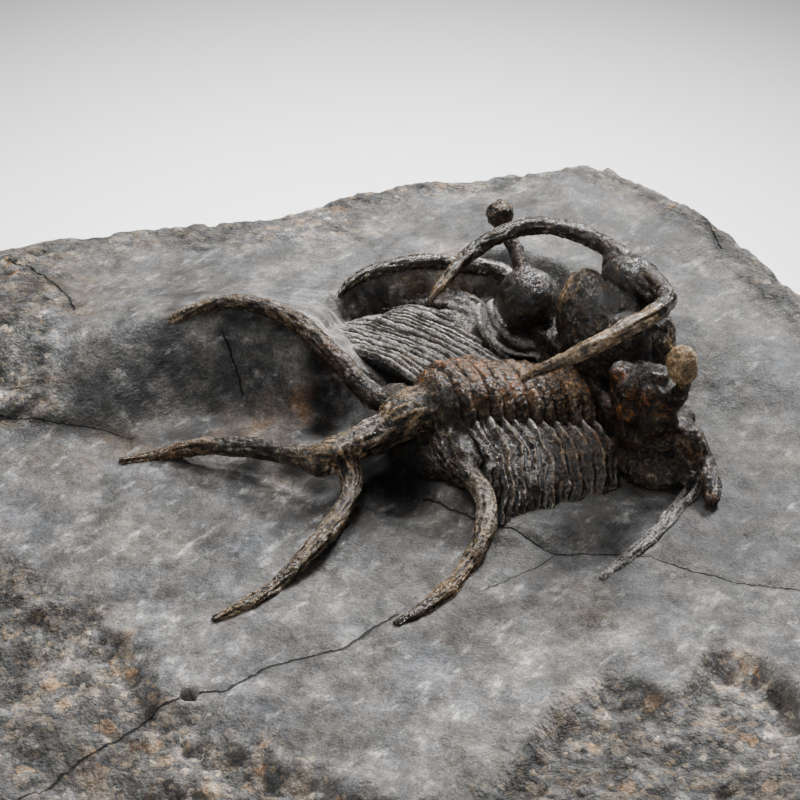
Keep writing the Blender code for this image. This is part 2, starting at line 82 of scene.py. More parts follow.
BANK_X = [-71.0, -46.0, -36.0, -27.0, -21.0, -13.5, -7.0, -4.0, -1.0, 4.0, 10.0, 16.0, 24.0, 34.0, 49.0, 68.0]
BANK_Y = [40.0, 32.0, 25.0, 21.0, 22.0, 22.2, 19.3, 18.0, 22.0, 30.0, 35.5, 38.0, 39.0, 36.0, 28.0, 20.0]
BANK_TOP = [37.5, 38.3, 38.6, 39.0, 40.0, 41.0, 40.0, 38.2, 37.0, 37.4, 38.4, 38.6, 38.0, 36.8, 34.0, 31.5]
BANK_BACK = [37.5, 38.3, 38.6, 38.7, 38.7, 38.7, 38.7, 38.7, 38.8, 39.1, 39.4, 39.6, 40.3, 38.5, 34.9, 30.8]
BANK_FACE = [30.0, 24.0, 16.0, 11.0, 9.0, 8.0, 7.5, 6.0, 5.0, 6.0, 6.0, 7.0, 12.0, 20.0, 25.0, 25.0]
PLATEAU_RUN = 9.0
# Waves of the broken stone: radians per millimetre along X and Y, start and height.
WAVES = [(0.16, 0.13, 0.9, 0.25), (0.16, -0.13, 1.7, 0.25), (0.31, -0.27, 2.0, 0.3), (0.21, 0.52, 0.0, 0.2)]
WAVE_WORKED = 0.15
WAVE_BROKEN = 0.75
SMOOTH_OVAL = ((8.0, 4.0), (52.0, 40.0))
SMOOTH_START = 0.8
SMOOTH_BLEND = 0.4

# Cracks in the stone: width, how much painted shade lies on the stone beside it, and its way over the block
# in plan.
CRACKS = {
    "left": (0.06, 0.5, [
        (-44.0, 13.2), (-39.0, 12.7), (-35.7, 12.3), (-32.5, 11.8), (-29.8, 11.6), (-27.6, 11.2),
        (-24.3, 9.9),
    ]),
    "front": (0.11, 0.0, [
        (4.0, -18.4), (1.2, -21.0), (-1.4, -24.0), (-4.8, -24.9), (-8.7, -26.6), (-12.9, -30.1),
        (-16.3, -30.1),
        (-19.7, -30.9), (-22.9, -34.0), (-26.5, -37.3), (-29.1, -40.7), (-34.0, -45.0),
    ]),
    "right": (0.085, 0.0, [
        (6.1, 0.2), (9.2, -3.2), (13.8, -6.1), (15.8, -6.8), (18.3, -8.7), (19.8, -9.5), (23.4, -9.5),
        (26.4, -9.7), (29.4, -9.9), (33.4, -12.3), (38.3, -13.9), (41.3, -14.4), (46.0, -15.6), (54.0, -17.0),
    ]),
    "branch": (0.05, 0.0, [(19.8, -9.5), (18.2, -11.2), (16.1, -12.7), (14.1, -14.1), (12.0, -15.3)]),
    "wall": (0.06, 0.0, [
        (-15.3, 19.8), (-14.6, 18.9), (-14.1, 18.1), (-13.5, 17.3), (-13.2, 16.4), (-13.0, 15.7),
    ]),
    "back": (0.2, 0.0, [(38.7, 58.9), (39.3, 52.1), (39.7, 46.4), (40.8, 42.1)]),
    "corner": (0.12, 0.4, [(-40.2, 37.7), (-38.3, 35.9), (-35.6, 32.0), (-33.0, 28.3), (-31.7, 25.0)]),
}
CRACK_DEPTH = 0.14
CRACK_WANDER = 0.6
PIT_AT = (-16.3, -30.1)
PIT_RADIUS = 0.95
PIT_DEPTH = 1.6
# The tool marks in the bowl run this way.
BRUSH_ANGLE = math.radians(-49.0)
STONE_TOP_LIMIT = 48.0
# How wide the front step's slope is, from left to right, and the painted light on the stone with depth,
# strongest in the front of the bowl and weakest at the back.
STEP_WIDTH_X = [-20.0, 5.0, 20.0]
STEP_WIDTHS = [9.0, 6.0, 4.4]
PAINTED_LIGHT_Y = [-46.0, -34.0, -26.0, -12.0, 22.0, 40.0]
PAINTED_LIGHT = [1.35, 1.5, 1.7, 1.05, 0.95, 0.78]
# The stone that was left behind the left spines reaches this far below their middles.
LEVEE_DROP = 0.15
# Noises of the stone: size of the largest lumps, seed, layers, and ridged or not.
STONE_NOISES = {
    "step wander": (5.0, 3, 3), "front east": (4.0, 44, 3), "front north": (3.0, 45, 4), "side": (6.0, 5, 3),
    "rim": (8.0, 6, 3), "back": (7.0, 7, 3), "chips": (6.5, 31, 5, True), "flake sway": (2.5, 30, 2),
    "grit": (1.3, 33, 3), "swell": (9.0, 34, 3), "pocks": (2.2, 35, 4), "combed": (1.1, 36, 3),
    "scratches": (1.7, 37, 2), "beyond the ribs": (1.15, 43, 2), "wall end": (4.0, 42, 2),
    "rim drop": (5.0, 38, 2),
    "outline": (7.0, 11, 3), "wall swell": (14.0, 21, 4), "wall ledges": (5.0, 22, 3, True),
}
# Patches of the stone in plan: X, Y, radius and strength.
STONE_PATCHES = {
    "stain": [
        (-13.0, 12.0, 7.0, 0.8), (-6.5, 13.5, 2.2, 1.0), (8.0, 33.0, 8.0, 1.0), (-36.0, 28.0, 12.0, 0.6),
        (-28.0, 9.0, 10.0, 0.8), (24.0, -16.0, 6.0, 0.35), (44.0, 2.0, 9.0, 0.4), (14.0, 30.0, 6.0, 0.9),
    ],
    # Painted light on the floor under the far cheek spine, lifting the shade there.
    "pale floor": [(8.0, 33.5, 10.0, 1.0), (16.0, 34.0, 6.0, 1.0)],
    # Painted shade: the stone darkened in the shadows under and beside the tail and its spines, and at the
    # wall's right end.
    "painted_shade": [
        (1.9, 4.3, 6.0, 1.0), (6.1, 2.2, 5.0, 1.0), (-0.2, 2.4, 4.6, 1.0), (-3.4, 4.1, 3.2, 0.9),
        (-6.5, 3.6, 2.6, 0.8), (-11.8, 5.3, 2.2, 0.7), (-4.8, 16.5, 2.4, 0.9), (-4.6, 14.2, 2.2, 0.9),
        (-4.1, 11.7, 3.0, 1.0), (9.0, 6.0, 6.0, 0.9), (24.0, 0.0, 5.0, 0.5), (17.0, -3.0, 5.0, 0.5),
        (0.5, 6.5, 4.5, 1.0), (-3.0, 6.5, 3.0, 0.9), (3.0, 2.0, 4.0, 1.0), (1.0, 9.0, 4.5, 1.0),
        (4.5, 9.0, 5.0, 1.0), (-3.0, 8.5, 3.0, 0.8), (-4.8, 1.8, 2.6, 0.9), (-7.0, 4.4, 3.2, 1.0),
    ],
    "streak": [(-6.8, 13.6, 2.6, 1.0), (-11.1, 13.3, 3.0, 0.7), (-14.0, 10.8, 3.2, 0.6)],
}

# The animal on the block.
HEADING = math.radians(29.0)
ANIMAL_AT = (12.5, 9.5, 35.0)
SEGMENTS = 10
THORAX_FRONT = 11.8
THORAX_BACK = -4.6
AXIS_HALF_WIDTH = 4.3
AXIS_RISE = 4.4
FLAT_TO = 6.5
LEFT_REACH = 22.0
RIGHT_REACH = 13.8
LEFT_EDGE = 1.2
RIGHT_EDGE = -3.4
LEFT_SWEEP = 0.033
RIGHT_SWEEP = 0.048
LEFT_TIP_LINE = -6.8
RIGHT_TIP_LINE = -4.4
EDGE_CURVE = 1.25
BACK_AT = [-9.0, -5.0, -2.0, 0.0, 2.4, 5.0, 8.0, 12.0]
BACK_LEVEL = [0.4, 1.3, 1.4, 1.0, 0.0, -0.8, -1.8, -3.0]
# The stone under and round the animal, in the animal's frame: ovals have a middle and two radii.
BED_UNDER_LEFT = 0.0
BED_UNDER_AXIS = -3.0
BED_UNDER_RIGHT = -4.5
FOOTPRINT = ((6.5, 3.0), (15.0, 20.5))
FOOTPRINT_BLEND = 5.3
TAIL_HOLLOW = ((-12.5, -5.0), (5.0, 4.5))
TAIL_HOLLOW_DEPTH = 1.5
MOAT = ((5.5, 23.5), (10.5, 1.4))
MOAT_DEPTH = 2.2
MOAT_WIDTH = 1.4
SHADOW_OVAL = ((-3.0, -8.0), (31.0, 26.0))
# The ribs: how far they dip at their left and right tips, and patches of colour (forward, left, up,
# radius, strength).
TIP_LENGTH = 3.0
TIP_DIPS = (0.9, 1.5)
RIB_LOOKS = {
    "far brown": [
        (-3.0, 11.0, 1.0, 4.0, 0.9), (2.0, 14.0, 1.0, 3.5, 0.7), (5.0, 19.0, 0.6, 4.0, 0.7),
        (9.0, 9.0, 0.0, 3.0, 0.7),
    ],
    "rust": [
        (-3.5, 1.0, 5.6, 2.6, 1.0), (-1.0, -1.5, 5.5, 2.0, 0.8), (3.0, -3.0, 3.6, 2.2, 0.5),
        (6.0, -8.0, -0.5, 2.4, 0.5), (9.5, -8.0, -1.6, 2.2, 0.8), (0.5, 2.0, 5.0, 2.0, 0.5),
    ],
    "pale tips": [(6.9, -13.6, -4.0, 1.3, 1.0), (8.8, -13.6, -4.0, 1.2, 1.0), (12.0, -12.0, -3.4, 1.3, 0.8)],
}

# Head. Lines hold forward, left, up and radius. Lumps hold a centre, three radii and a fineness.
HEAD_GRAIN = 0.208
HEAD_TOP_LIMIT = 14.2
ROLL = 0.12
EYE = (12.6, 11.3, 4.6)
EYE_RADIUS = 3.5
EYE_SHINE = (EYE[0], EYE[1], EYE[2] + 0.6, EYE_RADIUS * 1.45)
SHIELD = ((13.4, 0.5, -5.0), (9.4, 18.0, 7.2))
SHIELD_BACK = 11.9
SHIELD_FOOT = -7.5
GLABELLA = ((17.2, 0.0, 3.6), (5.8, 6.6, 7.2))
KNOBS = {"left": ((13.2, 18.5, 11.6), (1.35, 1.4, 1.6)), "right": ((13.3, -17.9, 10.5), (1.5, 1.5, 2.0))}
HORN = [
    (19.0, 0.6, 11.6, 1.25), (18.9, 3.4, 12.2, 1.15), (18.2, 7.2, 12.4, 1.03), (16.3, 9.8, 13.0, 1.0),
    (13.4, 11.6, 13.3, 0.97), (9.8, 12.3, 12.9, 0.95), (6.0, 12.1, 11.8, 0.87), (2.8, 11.1, 10.4, 0.72),
    (0.4, 10.1, 9.3, 0.5), (-0.9, 9.7, 8.3, 0.22),
]
LEFT_CHEEK_SPINE = [
    (14.6, 15.5, -0.4, 1.3), (15.9, 19.2, 1.5, 1.15), (14.9, 21.7, 2.8, 1.0), (12.0, 23.0, 3.6, 0.95),
    (7.5, 24.2, 4.7, 0.87), (3.0, 25.2, 4.8, 0.78), (-0.8, 25.6, 4.1, 0.65), (-5.3, 24.7, 2.2, 0.35),
]
RIGHT_CHEEK_SPINE = [
    (14.2, -12.8, -0.6, 1.5), (15.9, -14.8, 0.6, 1.3), (16.7, -16.3, -1.0, 1.2), (16.9, -18.0, -2.8, 1.1),
    (16.2, -20.2, -4.0, 0.95), (15.0, -21.8, -4.6, 0.75),
]
# The end of the right cheek spine lies in the stone: forward, left and radius.
RIGHT_CHEEK_TRACE = [
    (15.9, -17.4, 1.1), (14.2, -18.9, 1.0), (11.8, -20.2, 0.9), (7.8, -22.4, 0.8), (3.6, -24.2, 0.7),
    (-0.9, -25.8, 0.4),
]
TRACE_SUNK = 1.3
LEFT_STALK = [(13.0, 12.2, 6.4, 1.2), (13.2, 15.0, 8.6, 1.0), (13.2, 17.4, 10.6, 0.85)]
RIGHT_STALK = [
    (13.2, -13.4, 3.6, 1.7), (13.6, -15.6, 5.0, 1.3), (13.7, -17.2, 6.8, 0.95), (13.5, -18.2, 8.8, 0.8),
]
LOBE_LINE = [(14.8, 4.5, 0.0, 2.4), (15.4, 4.5, 10.5, 2.4)]
MIDDLE_LUMPS = {
    "occipital ring": ((13.0, 0.0, -0.4), (1.8, 4.4, 3.9), 5),
    "horn base": ((18.8, 0.2, 10.6), (2.7, 4.0, 2.5), 5),
    "horn base, far": ((19.0, 3.2, 11.4), (1.6, 2.0, 1.6), 4),
    "horn base, near": ((18.9, -3.4, 11.3), (1.7, 2.2, 1.7), 4),
    "left lobe": ((14.9, 4.5, 5.4), (2.5, 2.3, 4.4), 5),
    "left lobe's top": ((15.6, 4.5, 8.3), (2.0, 2.4, 2.1), 4),
    "right lobe": ((14.6, -5.3, 5.7), (2.9, 2.6, 4.6), 5),
    "far eye": (EYE, (EYE_RADIUS, EYE_RADIUS, EYE_RADIUS), 5),
}
FAR_LUMPS = {
    "socket": ((12.2, 11.8, -0.8), (2.8, 3.0, 2.2), 5),
    "cheek": ((8.6, 19.2, -1.0), (4.0, 5.4, 1.6), 4),
    "cheek's front": ((11.4, 17.0, -1.4), (3.4, 4.0, 2.2), 4),
    "pit's rim, outer": ((12.3, 8.8, -0.5), (1.5, 1.2, 0.8), 4),
    "pit's rim, front": ((14.4, 7.6, -0.2), (1.3, 1.1, 0.9), 4),
    "pit's rim, inner": ((12.6, 6.9, -0.7), (1.4, 0.9, 0.7), 4),
}
BULLA = ((12.9, -11.3, 3.9), (3.2, 3.5, 3.4))
NEAR_LUMPS = {
    "bulla's side": ((12.9, -14.0, 2.6), (2.4, 2.2, 3.0), 5),
    "bulla's foot": ((13.6, -11.6, 0.2), (3.6, 4.4, 3.0), 5),
    "cheek": ((13.0, -12.6, -3.6), (3.4, 5.4, 2.6), 5),
    "cheek's front": ((15.4, -13.8, -3.4), (3.0, 4.2, 2.6), 5),
}
# Fragments of the crushed near cheek and eye.
FRAGMENTS = [
    ((12.9, -11.0, -1.2), (1.5, 1.8, 1.0)), ((14.9, -12.9, -1.0), (1.9, 1.5, 1.2)),
    ((16.6, -14.6, -1.3), (1.5, 1.5, 1.2)), ((13.4, -15.4, -2.9), (1.8, 1.4, 1.0)),
    ((15.0, -17.2, -3.4), (1.6, 1.3, 1.0)), ((12.0, -15.8, -3.8), (1.2, 1.2, 0.9)),
    ((17.6, -11.6, -0.4), (1.8, 1.6, 1.6)), ((10.8, -12.4, 5.9), (1.5, 1.4, 1.3)),
    ((12.4, -14.0, 5.2), (1.6, 1.2, 1.5)), ((10.7, -12.6, 3.1), (1.4, 1.4, 1.6)),
    ((12.2, -14.3, 2.6), (1.7, 1.2, 1.3)), ((11.2, -10.2, 6.4), (1.5, 1.4, 1.2)),
    ((13.6, -12.8, 6.6), (1.6, 1.5, 1.0)), ((10.4, -9.6, 2.4), (1.2, 1.6, 1.4)),
]
# Rim round the far eye, on the side that faces the tail. Its two rims and its collar stand so far out
# from it and so far below it, and have a radius.
EYE_RIM = [
    (10.4, 14.3, 3.9), (9.9, 14.3, 3.4), (9.6, 13.7, 2.8), (9.8, 12.4, 1.6), (10.3, 11.0, 0.9),
    (11.0, 10.1, 0.5),
    (12.0, 9.0, 0.4),
]
INNER_RIM = (0.3, 0.1, 0.56)
OUTER_RIM = (1.7, 0.8, 0.5)
COLLAR = (1.1, 2.9, 1.0)
# Lines between the rims, whose grooves get painted shade.
RIM_GAPS = [(-0.55, 0.1), (1.0, 0.6)]
# Folds of the far cheek beside the first rib, and ridges of the near cheek.
FAR_FOLDS = [
    [
        (10.4, 11.6, -0.7), (9.3, 14.8, -0.2), (8.1, 17.3, 0.2), (6.3, 19.6, 0.6), (3.6, 21.7, 0.8),
        (0.6, 23.2, 0.9),
    ],
    [(10.1, 14.7, -0.2), (9.6, 17.3, 0.3), (8.2, 19.7, 0.7), (6.2, 21.7, 0.9), (3.3, 23.4, 1.0)],
    [(10.5, 16.6, 0.3), (9.8, 19.1, 0.8), (8.4, 21.1, 1.1), (6.1, 22.8, 1.2), (3.5, 23.9, 1.2)],
    [(11.4, 18.4, 0.8), (10.1, 20.6, 1.3), (8.6, 22.0, 1.4), (6.8, 22.8, 1.4)],
]
NEAR_FOLDS = [
    [(12.7, -6.0, -2.2), (12.4, -9.5, -2.0), (11.7, -13.0, -3.0), (10.8, -15.6, -4.5)],
    [(14.0, -8.0, -1.4), (13.8, -11.0, -1.4), (13.0, -14.4, -2.9), (12.2, -16.4, -4.3)],
]
# Patches of gloss and colour: forward, left, up, radius and strength.
HEAD_LOOKS = {
    "gloss": [(*EYE_SHINE, 1.0), (12.6, -11.3, 5.4, 3.5, 0.3), (19.0, -2.0, 11.5, 3.0, 0.5)],
    "tan": [
        (13.2, 18.5, 11.8, 2.8, 1.1), (13.3, -18.0, 10.7, 3.8, 2.7), (13.4, -14.0, -2.5, 7.0, 0.7),
        (12.6, -11.8, 13.2, 2.6, 1.6), (10.6, -12.3, 12.8, 2.8, 1.8), (7.0, -12.2, 12.3, 3.6, 1.9),
        (3.5, -11.4, 11.0, 3.6, 1.6), (0.5, -10.2, 9.4, 3.0, 1.1), (14.6, 5.3, 8.0, 3.6, 1.7),
        (14.2, 5.6, 5.0, 3.0, 1.1), (12.6, -13.0, 5.0, 4.4, 0.7), (1.0, 10.3, 9.5, 3.0, 0.8),
        (3.4, 11.4, 11.0, 2.4, 0.5), (17.0, 4.0, 11.0, 1.4, 0.6), (13.2, 13.2, 7.0, 1.6, 0.8),
        (2.0, -25.0, -7.0, 7.0, 0.5), (9.0, -22.4, -7.0, 5.0, 0.5), (20.0, -5.5, 4.5, 4.5, 1.3),
        (17.4, -6.0, 2.4, 4.0, 1.0),
    ],
    "rust": [
        (10.2, -11.0, 6.6, 1.9, 1.2), (10.4, -14.4, 5.6, 2.0, 1.2), (12.6, -15.6, 4.4, 1.5, 0.8),
        (9.6, -12.8, 3.4, 1.8, 1.2), (9.8, -9.4, 4.4, 1.5, 1.1), (13.6, -17.6, 9.4, 1.6, 0.5),
        (12.4, -9.0, -0.6, 2.4, 0.7), (16.6, -16.6, -1.6, 1.6, 0.9), (15.6, -21.2, -4.4, 1.4, 1.0),
        (13.2, -18.5, 12.0, 2.0, 0.5), (14.0, -13.0, -1.0, 2.6, 0.5), (10.4, -10.6, 2.6, 1.8, 0.8),
        (9.8, 13.0, 7.0, 0.8, 1.0), (15.5, -9.5, 6.5, 1.6, 0.6),
    ],
    "pale": [
        (12.4, -15.6, -2.6, 4.4, 0.55), (10.6, -9.4, 7.4, 1.3, 1.0), (9.6, 13.7, 2.8, 2.6, 0.9),
        (9.9, 12.0, 1.2, 2.0, 0.9), (12.0, 8.6, 0.4, 2.6, 0.8), (8.0, 18.0, 0.6, 4.5, 0.7),
        (5.0, 21.5, 0.9, 4.0, 0.7), (14.8, -13.0, 7.0, 1.8, 1.0), (13.6, 13.0, 7.4, 1.0, 0.6),
        (10.6, -12.3, 12.8, 2.6, 0.5), (7.0, -12.2, 12.3, 3.2, 0.4), (3.5, -11.4, 11.0, 3.2, 0.3),
        (13.4, -19.0, 11.2, 2.8, 0.5),
    ],
}

# Spacing of the places on a line from which the shell's fibres are measured, and the unevenness of the
# horns and of the left cheek spine.
FIBRE_STEP = 0.7
SMOOTHER = 0.07

# Tail. Where its spines lie on the stone, their lines hold forward, left and radius.
TAIL_GRAIN = 0.17
LYING_SUNK = 0.95
SLIMMER = 0.92
TAIL_SHIELD = ((-6.4, 0.5, -2.8), (3.8, 7.0, 3.4))
TAIL_SHIELD_FRONT = -4.3
TAIL_STEM = [
    (-5.2, 0.2, 1.9, 3.6), (-8.3, 0.1, 1.5, 2.9), (-11.4, 0.0, 0.5, 2.25), (-15.0, 0.0, -0.1, 1.85),
    (-18.4, 0.2, -0.7, 1.65), (-20.2, 0.6, -1.2, 1.35),
]
LEFT_FORK = [
    (-18.2, 0.6, -1.0, 1.45), (-20.5, 3.6, -1.6, 1.2), (-23.3, 7.6, -2.0, 1.05), (-27.5, 11.3, -2.6, 0.9),
]
LEFT_FORK_LYING = [(-31.4, 14.4, 0.72), (-35.2, 15.4, 0.42)]
RIGHT_FORK = [
    (-16.4, -0.6, -1.4, 1.4), (-17.2, -3.2, -2.8, 1.15), (-19.4, -5.4, -3.7, 1.05), (-22.6, -7.8, -4.3, 1.0),
    (-26.7, -9.8, -5.4, 0.92),
]
RIGHT_FORK_LYING = [(-29.7, -10.8, 0.85), (-33.1, -11.9, 0.7), (-38.0, -12.5, 0.4)]
RIGHT_SICKLE = [
    (-6.4, -2.6, 0.2, 1.5), (-6.7, -5.8, -1.0, 1.25), (-6.4, -9.0, -1.5, 1.15), (-6.8, -12.8, -2.7, 1.1),
    (-8.8, -15.8, -4.3, 1.05),
]
RIGHT_SICKLE_LYING = [(-11.8, -17.8, 0.98), (-15.0, -19.7, 0.92), (-18.6, -21.1, 0.75), (-22.4, -21.9, 0.45)]
LEFT_SICKLE = [
    (-5.6, 2.4, 0.8, 1.6), (-8.9, 6.6, 0.4, 1.3), (-10.6, 10.5, 2.8, 1.15), (-11.9, 14.3, 4.7, 1.05),
    (-12.9, 17.3, 5.7, 1.0), (-15.0, 20.6, 6.5, 0.95), (-17.5, 23.1, 6.6, 0.85), (-20.6, 25.0, 5.8, 0.72),
    (-24.8, 26.6, 3.7, 0.45),
]
# Flutes, their depth, wrinkle and seed of each of the tail's spines.
TAIL_SKINS = {
    "stem": (8.0, 0.1, 0.16, 31.0), "left fork": (4.0, 0.14, 0.18, 32.0),
    "right fork": (4.0, 0.13, 0.18, 33.0),
    "right sickle": (4.0, 0.14, 0.18, 34.0), "left sickle": (5.0, 0.11, 0.16, 35.0),
}
TAIL_LUMPS = {
    "rump": ((-4.9, 0.0, 1.0), (2.6, 4.4, 4.8), 5),
    "far flank": ((-6.4, 5.4, -0.4), (2.4, 3.4, 1.9), 4),
    "near flank": ((-5.5, -4.8, -2.1), (2.5, 4.4, 3.5), 4),
    "fork's joint": ((-18.6, 0.6, -1.3), (2.2, 2.0, 1.5), 4),
}
# Ridges of the tail's near flank, from the rump down to the stone.
FLANK_FOLDS = [
    [(-4.6, -3.6, 1.8, 0.6), (-4.6, -6.2, 0.1, 0.75), (-4.4, -8.8, -1.5, 0.65), (-4.6, -11.6, -3.3, 0.4)],
    [(-5.8, -3.4, 1.6, 0.55), (-5.7, -5.4, 0.3, 0.65), (-5.6, -7.8, -0.9, 0.6), (-5.5, -10.6, -2.6, 0.4)],
]
TAIL_LOOKS = {
    "gloss": [],
    "tan": [
        (-17.0, 0.0, 1.5, 7.0, 1.0), (-8.0, -15.0, -2.0, 6.0, 0.8), (-14.0, -20.0, -5.0, 8.0, 0.9),
        (-24.0, -9.0, -3.0, 8.0, 0.7), (-34.0, -13.0, -6.0, 7.0, 0.7), (-14.0, 19.0, 7.5, 7.0, 0.5),
        (-22.0, 25.5, 6.0, 6.0, 0.5), (-30.0, 13.0, -2.0, 8.0, 0.5), (-5.0, 0.0, 5.4, 4.0, 0.8),
        (-10.0, 0.0, 3.0, 5.0, 1.0),
    ],
    "rust": [
        (-5.6, 1.8, 5.2, 2.6, 1.0), (-31.0, 13.6, -3.0, 6.0, 0.5), (-16.0, 4.0, -1.0, 3.0, 0.4),
        (-11.0, 12.0, 4.5, 3.0, 0.4), (-8.2, 1.0, 4.4, 1.8, 0.7),
    ],
    "pale": [(-14.0, 0.6, 2.0, 3.5, 0.4), (-7.5, -14.0, -1.8, 3.5, 0.5)],
}
# Painted shade on the tail, in the cavity under the stem and the hollows beside it: forward, left, up, radius
# and strength.
TAIL_PAINTED_SHADE = [
    (-9.5, -2.6, -3.0, 4.0, 1.0), (-13.0, -1.4, -3.0, 3.4, 1.0), (-7.0, -5.2, -3.6, 2.6, 1.0),
    (-16.5, 1.5, -3.2, 2.4, 0.9), (-9.0, 8.6, -1.4, 2.6, 0.8),
]

# Colours of the stone and of the shells, as red, green and blue light.
STONE = {
    "warm": (0.094, 0.089, 0.083), "cool": (0.083, 0.089, 0.099), "stroke": (0.132, 0.127, 0.121),
    "sweep": (0.050, 0.048, 0.047), "stain": (0.112, 0.075, 0.044), "smudge": (0.30, 0.292, 0.277),
    "crumb": (0.21, 0.155, 0.10), "dust": (0.42, 0.41, 0.39), "broken": (0.072, 0.073, 0.074),
    "broken, light": (0.130, 0.127, 0.122), "sandy": (0.20, 0.165, 0.13), "peach": (0.30, 0.19, 0.11),
    "buff": (0.22, 0.17, 0.12), "white grain": (0.38, 0.33, 0.27), "broken stain": (0.14, 0.088, 0.045),
    "seam": (0.030, 0.028, 0.026), "wall": (0.034, 0.0335, 0.034), "wall, light": (0.100, 0.096, 0.090),
    "wall smudge": (0.14, 0.135, 0.13), "high": (0.21, 0.20, 0.185), "low": (0.032, 0.029, 0.026),
    "comb ridge": (0.26, 0.25, 0.235), "comb groove": (0.022, 0.019, 0.016), "orange": (0.17, 0.080, 0.030),
    "crack": (0.008, 0.007, 0.006),
}
SHELL = {
    "earthy": (0.135, 0.074, 0.028), "worn": (0.145, 0.115, 0.083), "worn tan": (0.35, 0.225, 0.108),
    "golden": (0.55, 0.375, 0.19), "bleached": (0.29, 0.275, 0.255), "rusty": (0.27, 0.090, 0.018),
    "fleck": (0.36, 0.33, 0.29), "furrow": (0.0030, 0.0026, 0.0022),
}
# Each shell's dark and brown, between which levels a crest wears, how worn it is and how dull.
SHELLS = {
    "head_shell": ((0.0045, 0.0033, 0.0023), (0.038, 0.0225, 0.0105), (0.25, 1.1), 0.3, 0.06),
    "back_shell": ((0.0080, 0.0056, 0.0034), (0.050, 0.0290, 0.0130), (0.15, 1.1), 0.32, 0.1),
    "tail_shell": ((0.0070, 0.0050, 0.0032), (0.047, 0.0290, 0.0140), (0.1, 1.0), 0.45, 0.08),
}
TABLE_COLOUR = (0.84, 0.842, 0.845)
ROOM_COLOUR = (0.80, 0.81, 0.83)
ROOM_LIGHT = 0.06


def eased(share):
    """Ease shares from 0 to 1."""
    share = np.clip(share, 0.0, 1.0)
    return share * share * (3.0 - 2.0 * share)


def noise(places, size, seed, layers=1, ridged=False):
    """Layered gradient noise, about -1 to 1, whose largest lumps measure size."""
    draw = np.random.default_rng(seed)
    order = draw.permutation(256)
    slopes = draw.normal(size=(256, 3))
    slopes /= np.linalg.norm(slopes, axis=1, keepdims=True)
    total = np.zeros(len(places))
    weight = 1.0
    full = 0.0
    for layer in range(layers):
        spots = places / size + 17.3 * layer
        cell = np.floor(spots).astype(int)
        inside = spots - cell
        ease = inside ** 3 * (inside * (inside * 6.0 - 15.0) + 10.0)
        value = np.zeros(len(places))
        for corner in product((0, 1), repeat=3):
            at = (cell + corner) & 255
            pick = order[(order[(order[at[:, 0]] + at[:, 1]) & 255] + at[:, 2]) & 255]
            share = np.prod(np.where(np.array(corner) == 1, ease, 1.0 - ease), axis=1)
            value += share * np.einsum("ij,ij->i", slopes[pick], inside - corner)
        value *= 1.7
        if ridged:
            value = 1.0 - 2.0 * np.abs(value)
        total += weight * value
        full += weight
        weight *= 0.5
        size *= 0.5
    return total / full


def stone_noise(places, name):
    """One of the stone's named noises."""
    return noise(places, *STONE_NOISES[name])


def cells(places, size, seed):
    """For each place: the distance to its nearest scattered point, in cells, and a draw for that point."""
    draw = np.random.default_rng(seed)
    order = draw.permutation(1024)
    jitter = draw.random((1024, 3))
    lot = draw.random(1024)
    spots = places / size
    base = np.floor(spots).astype(int)
    nearest = np.full(len(places), 9.0)
    chosen = np.zeros(len(places))
    for offset in product((-1, 0, 1), repeat=3):
        cell = base + offset
        at = cell & 1023
        pick = order[(order[(order[at[:, 0]] + at[:, 1]) & 1023] + at[:, 2]) & 1023]
        gap = np.linalg.norm(cell + jitter[pick] - spots, axis=1)
        closer = gap < nearest
        nearest = np.where(closer, gap, nearest)
        chosen = np.where(closer, lot[pick], chosen)
    return nearest, chosen


def flat(first, second):
    """Places on a level plane."""
    return np.stack([first, second, np.zeros_like(first)], axis=1)


def patches(points, spots):
    """Strength of soft round patches: each spot holds a centre, a radius and a strength."""
    total = np.zeros(len(points))
    for forward, left, up, radius, strength in spots:
        gap = np.linalg.norm(points - np.array([forward, left, up]), axis=1)
        total = np.maximum(total, strength * eased(1.3 * (1.0 - gap / radius)))
    return total


def to_block(points):
    """Turn places on the animal into places on the block."""
    forward, left, up = np.asarray(points, float).T
    x = ANIMAL_AT[0] + forward * math.cos(HEADING) - left * math.sin(HEADING)
    y = ANIMAL_AT[1] + forward * math.sin(HEADING) + left * math.cos(HEADING)
    return np.stack([x, y, up + ANIMAL_AT[2]], axis=1)


def to_animal(x, y):
    """Turn a place on the block into a place on the animal, in plan."""
    dx = x - ANIMAL_AT[0]
    dy = y - ANIMAL_AT[1]
    forward = dx * math.cos(HEADING) + dy * math.sin(HEADING)
    left = dy * math.cos(HEADING) - dx * math.sin(HEADING)
    return forward, left


def on_side(left, of_left, of_right):
    """The left side's value for places on the animal's left, and the right side's for others."""
    return np.where(left > 0.0, of_left, of_right)


def out_of(first, second, oval):
    """Distance of places from an oval's middle, 1 on the oval."""
    middle, radii = oval
    return np.hypot((first - middle[0]) / radii[0], (second - middle[1]) / radii[1])


def step_share(x, y, width):
    """How far a place lies past the edge of the smooth bowl, from 0 to 1."""
    wander = 1.3 * stone_noise(flat(x, y), "step wander")
    return eased((np.interp(x, STEP_X, STEP_Y) + wander - y) / width)


def open_ground(x, y):
    """Height of the stone away from the animal: a slope with a bank behind it."""
    slope = np.where(y > BED_HINGE_Y, BED_SLOPE_BACK, BED_SLOPE_FRONT)
    low = BED_LEVEL + slope * (y - BED_HINGE_Y)
    low -= FRONT_STEP_DROP * step_share(x, y, FRONT_STEP_WIDTH)
    along_bank = (BANK_Y, BANK_TOP, BANK_FACE, BANK_BACK)
    crest_y, crest, face, behind = (np.interp(x, BANK_X, row) for row in along_bank)
    plateau = crest + (behind - crest) * eased((y - crest_y) / PLATEAU_RUN)
    rising = low + (crest - low) * eased(1.0 - (crest_y - y) / face)
    return np.where(y > crest_y, plateau, rising)


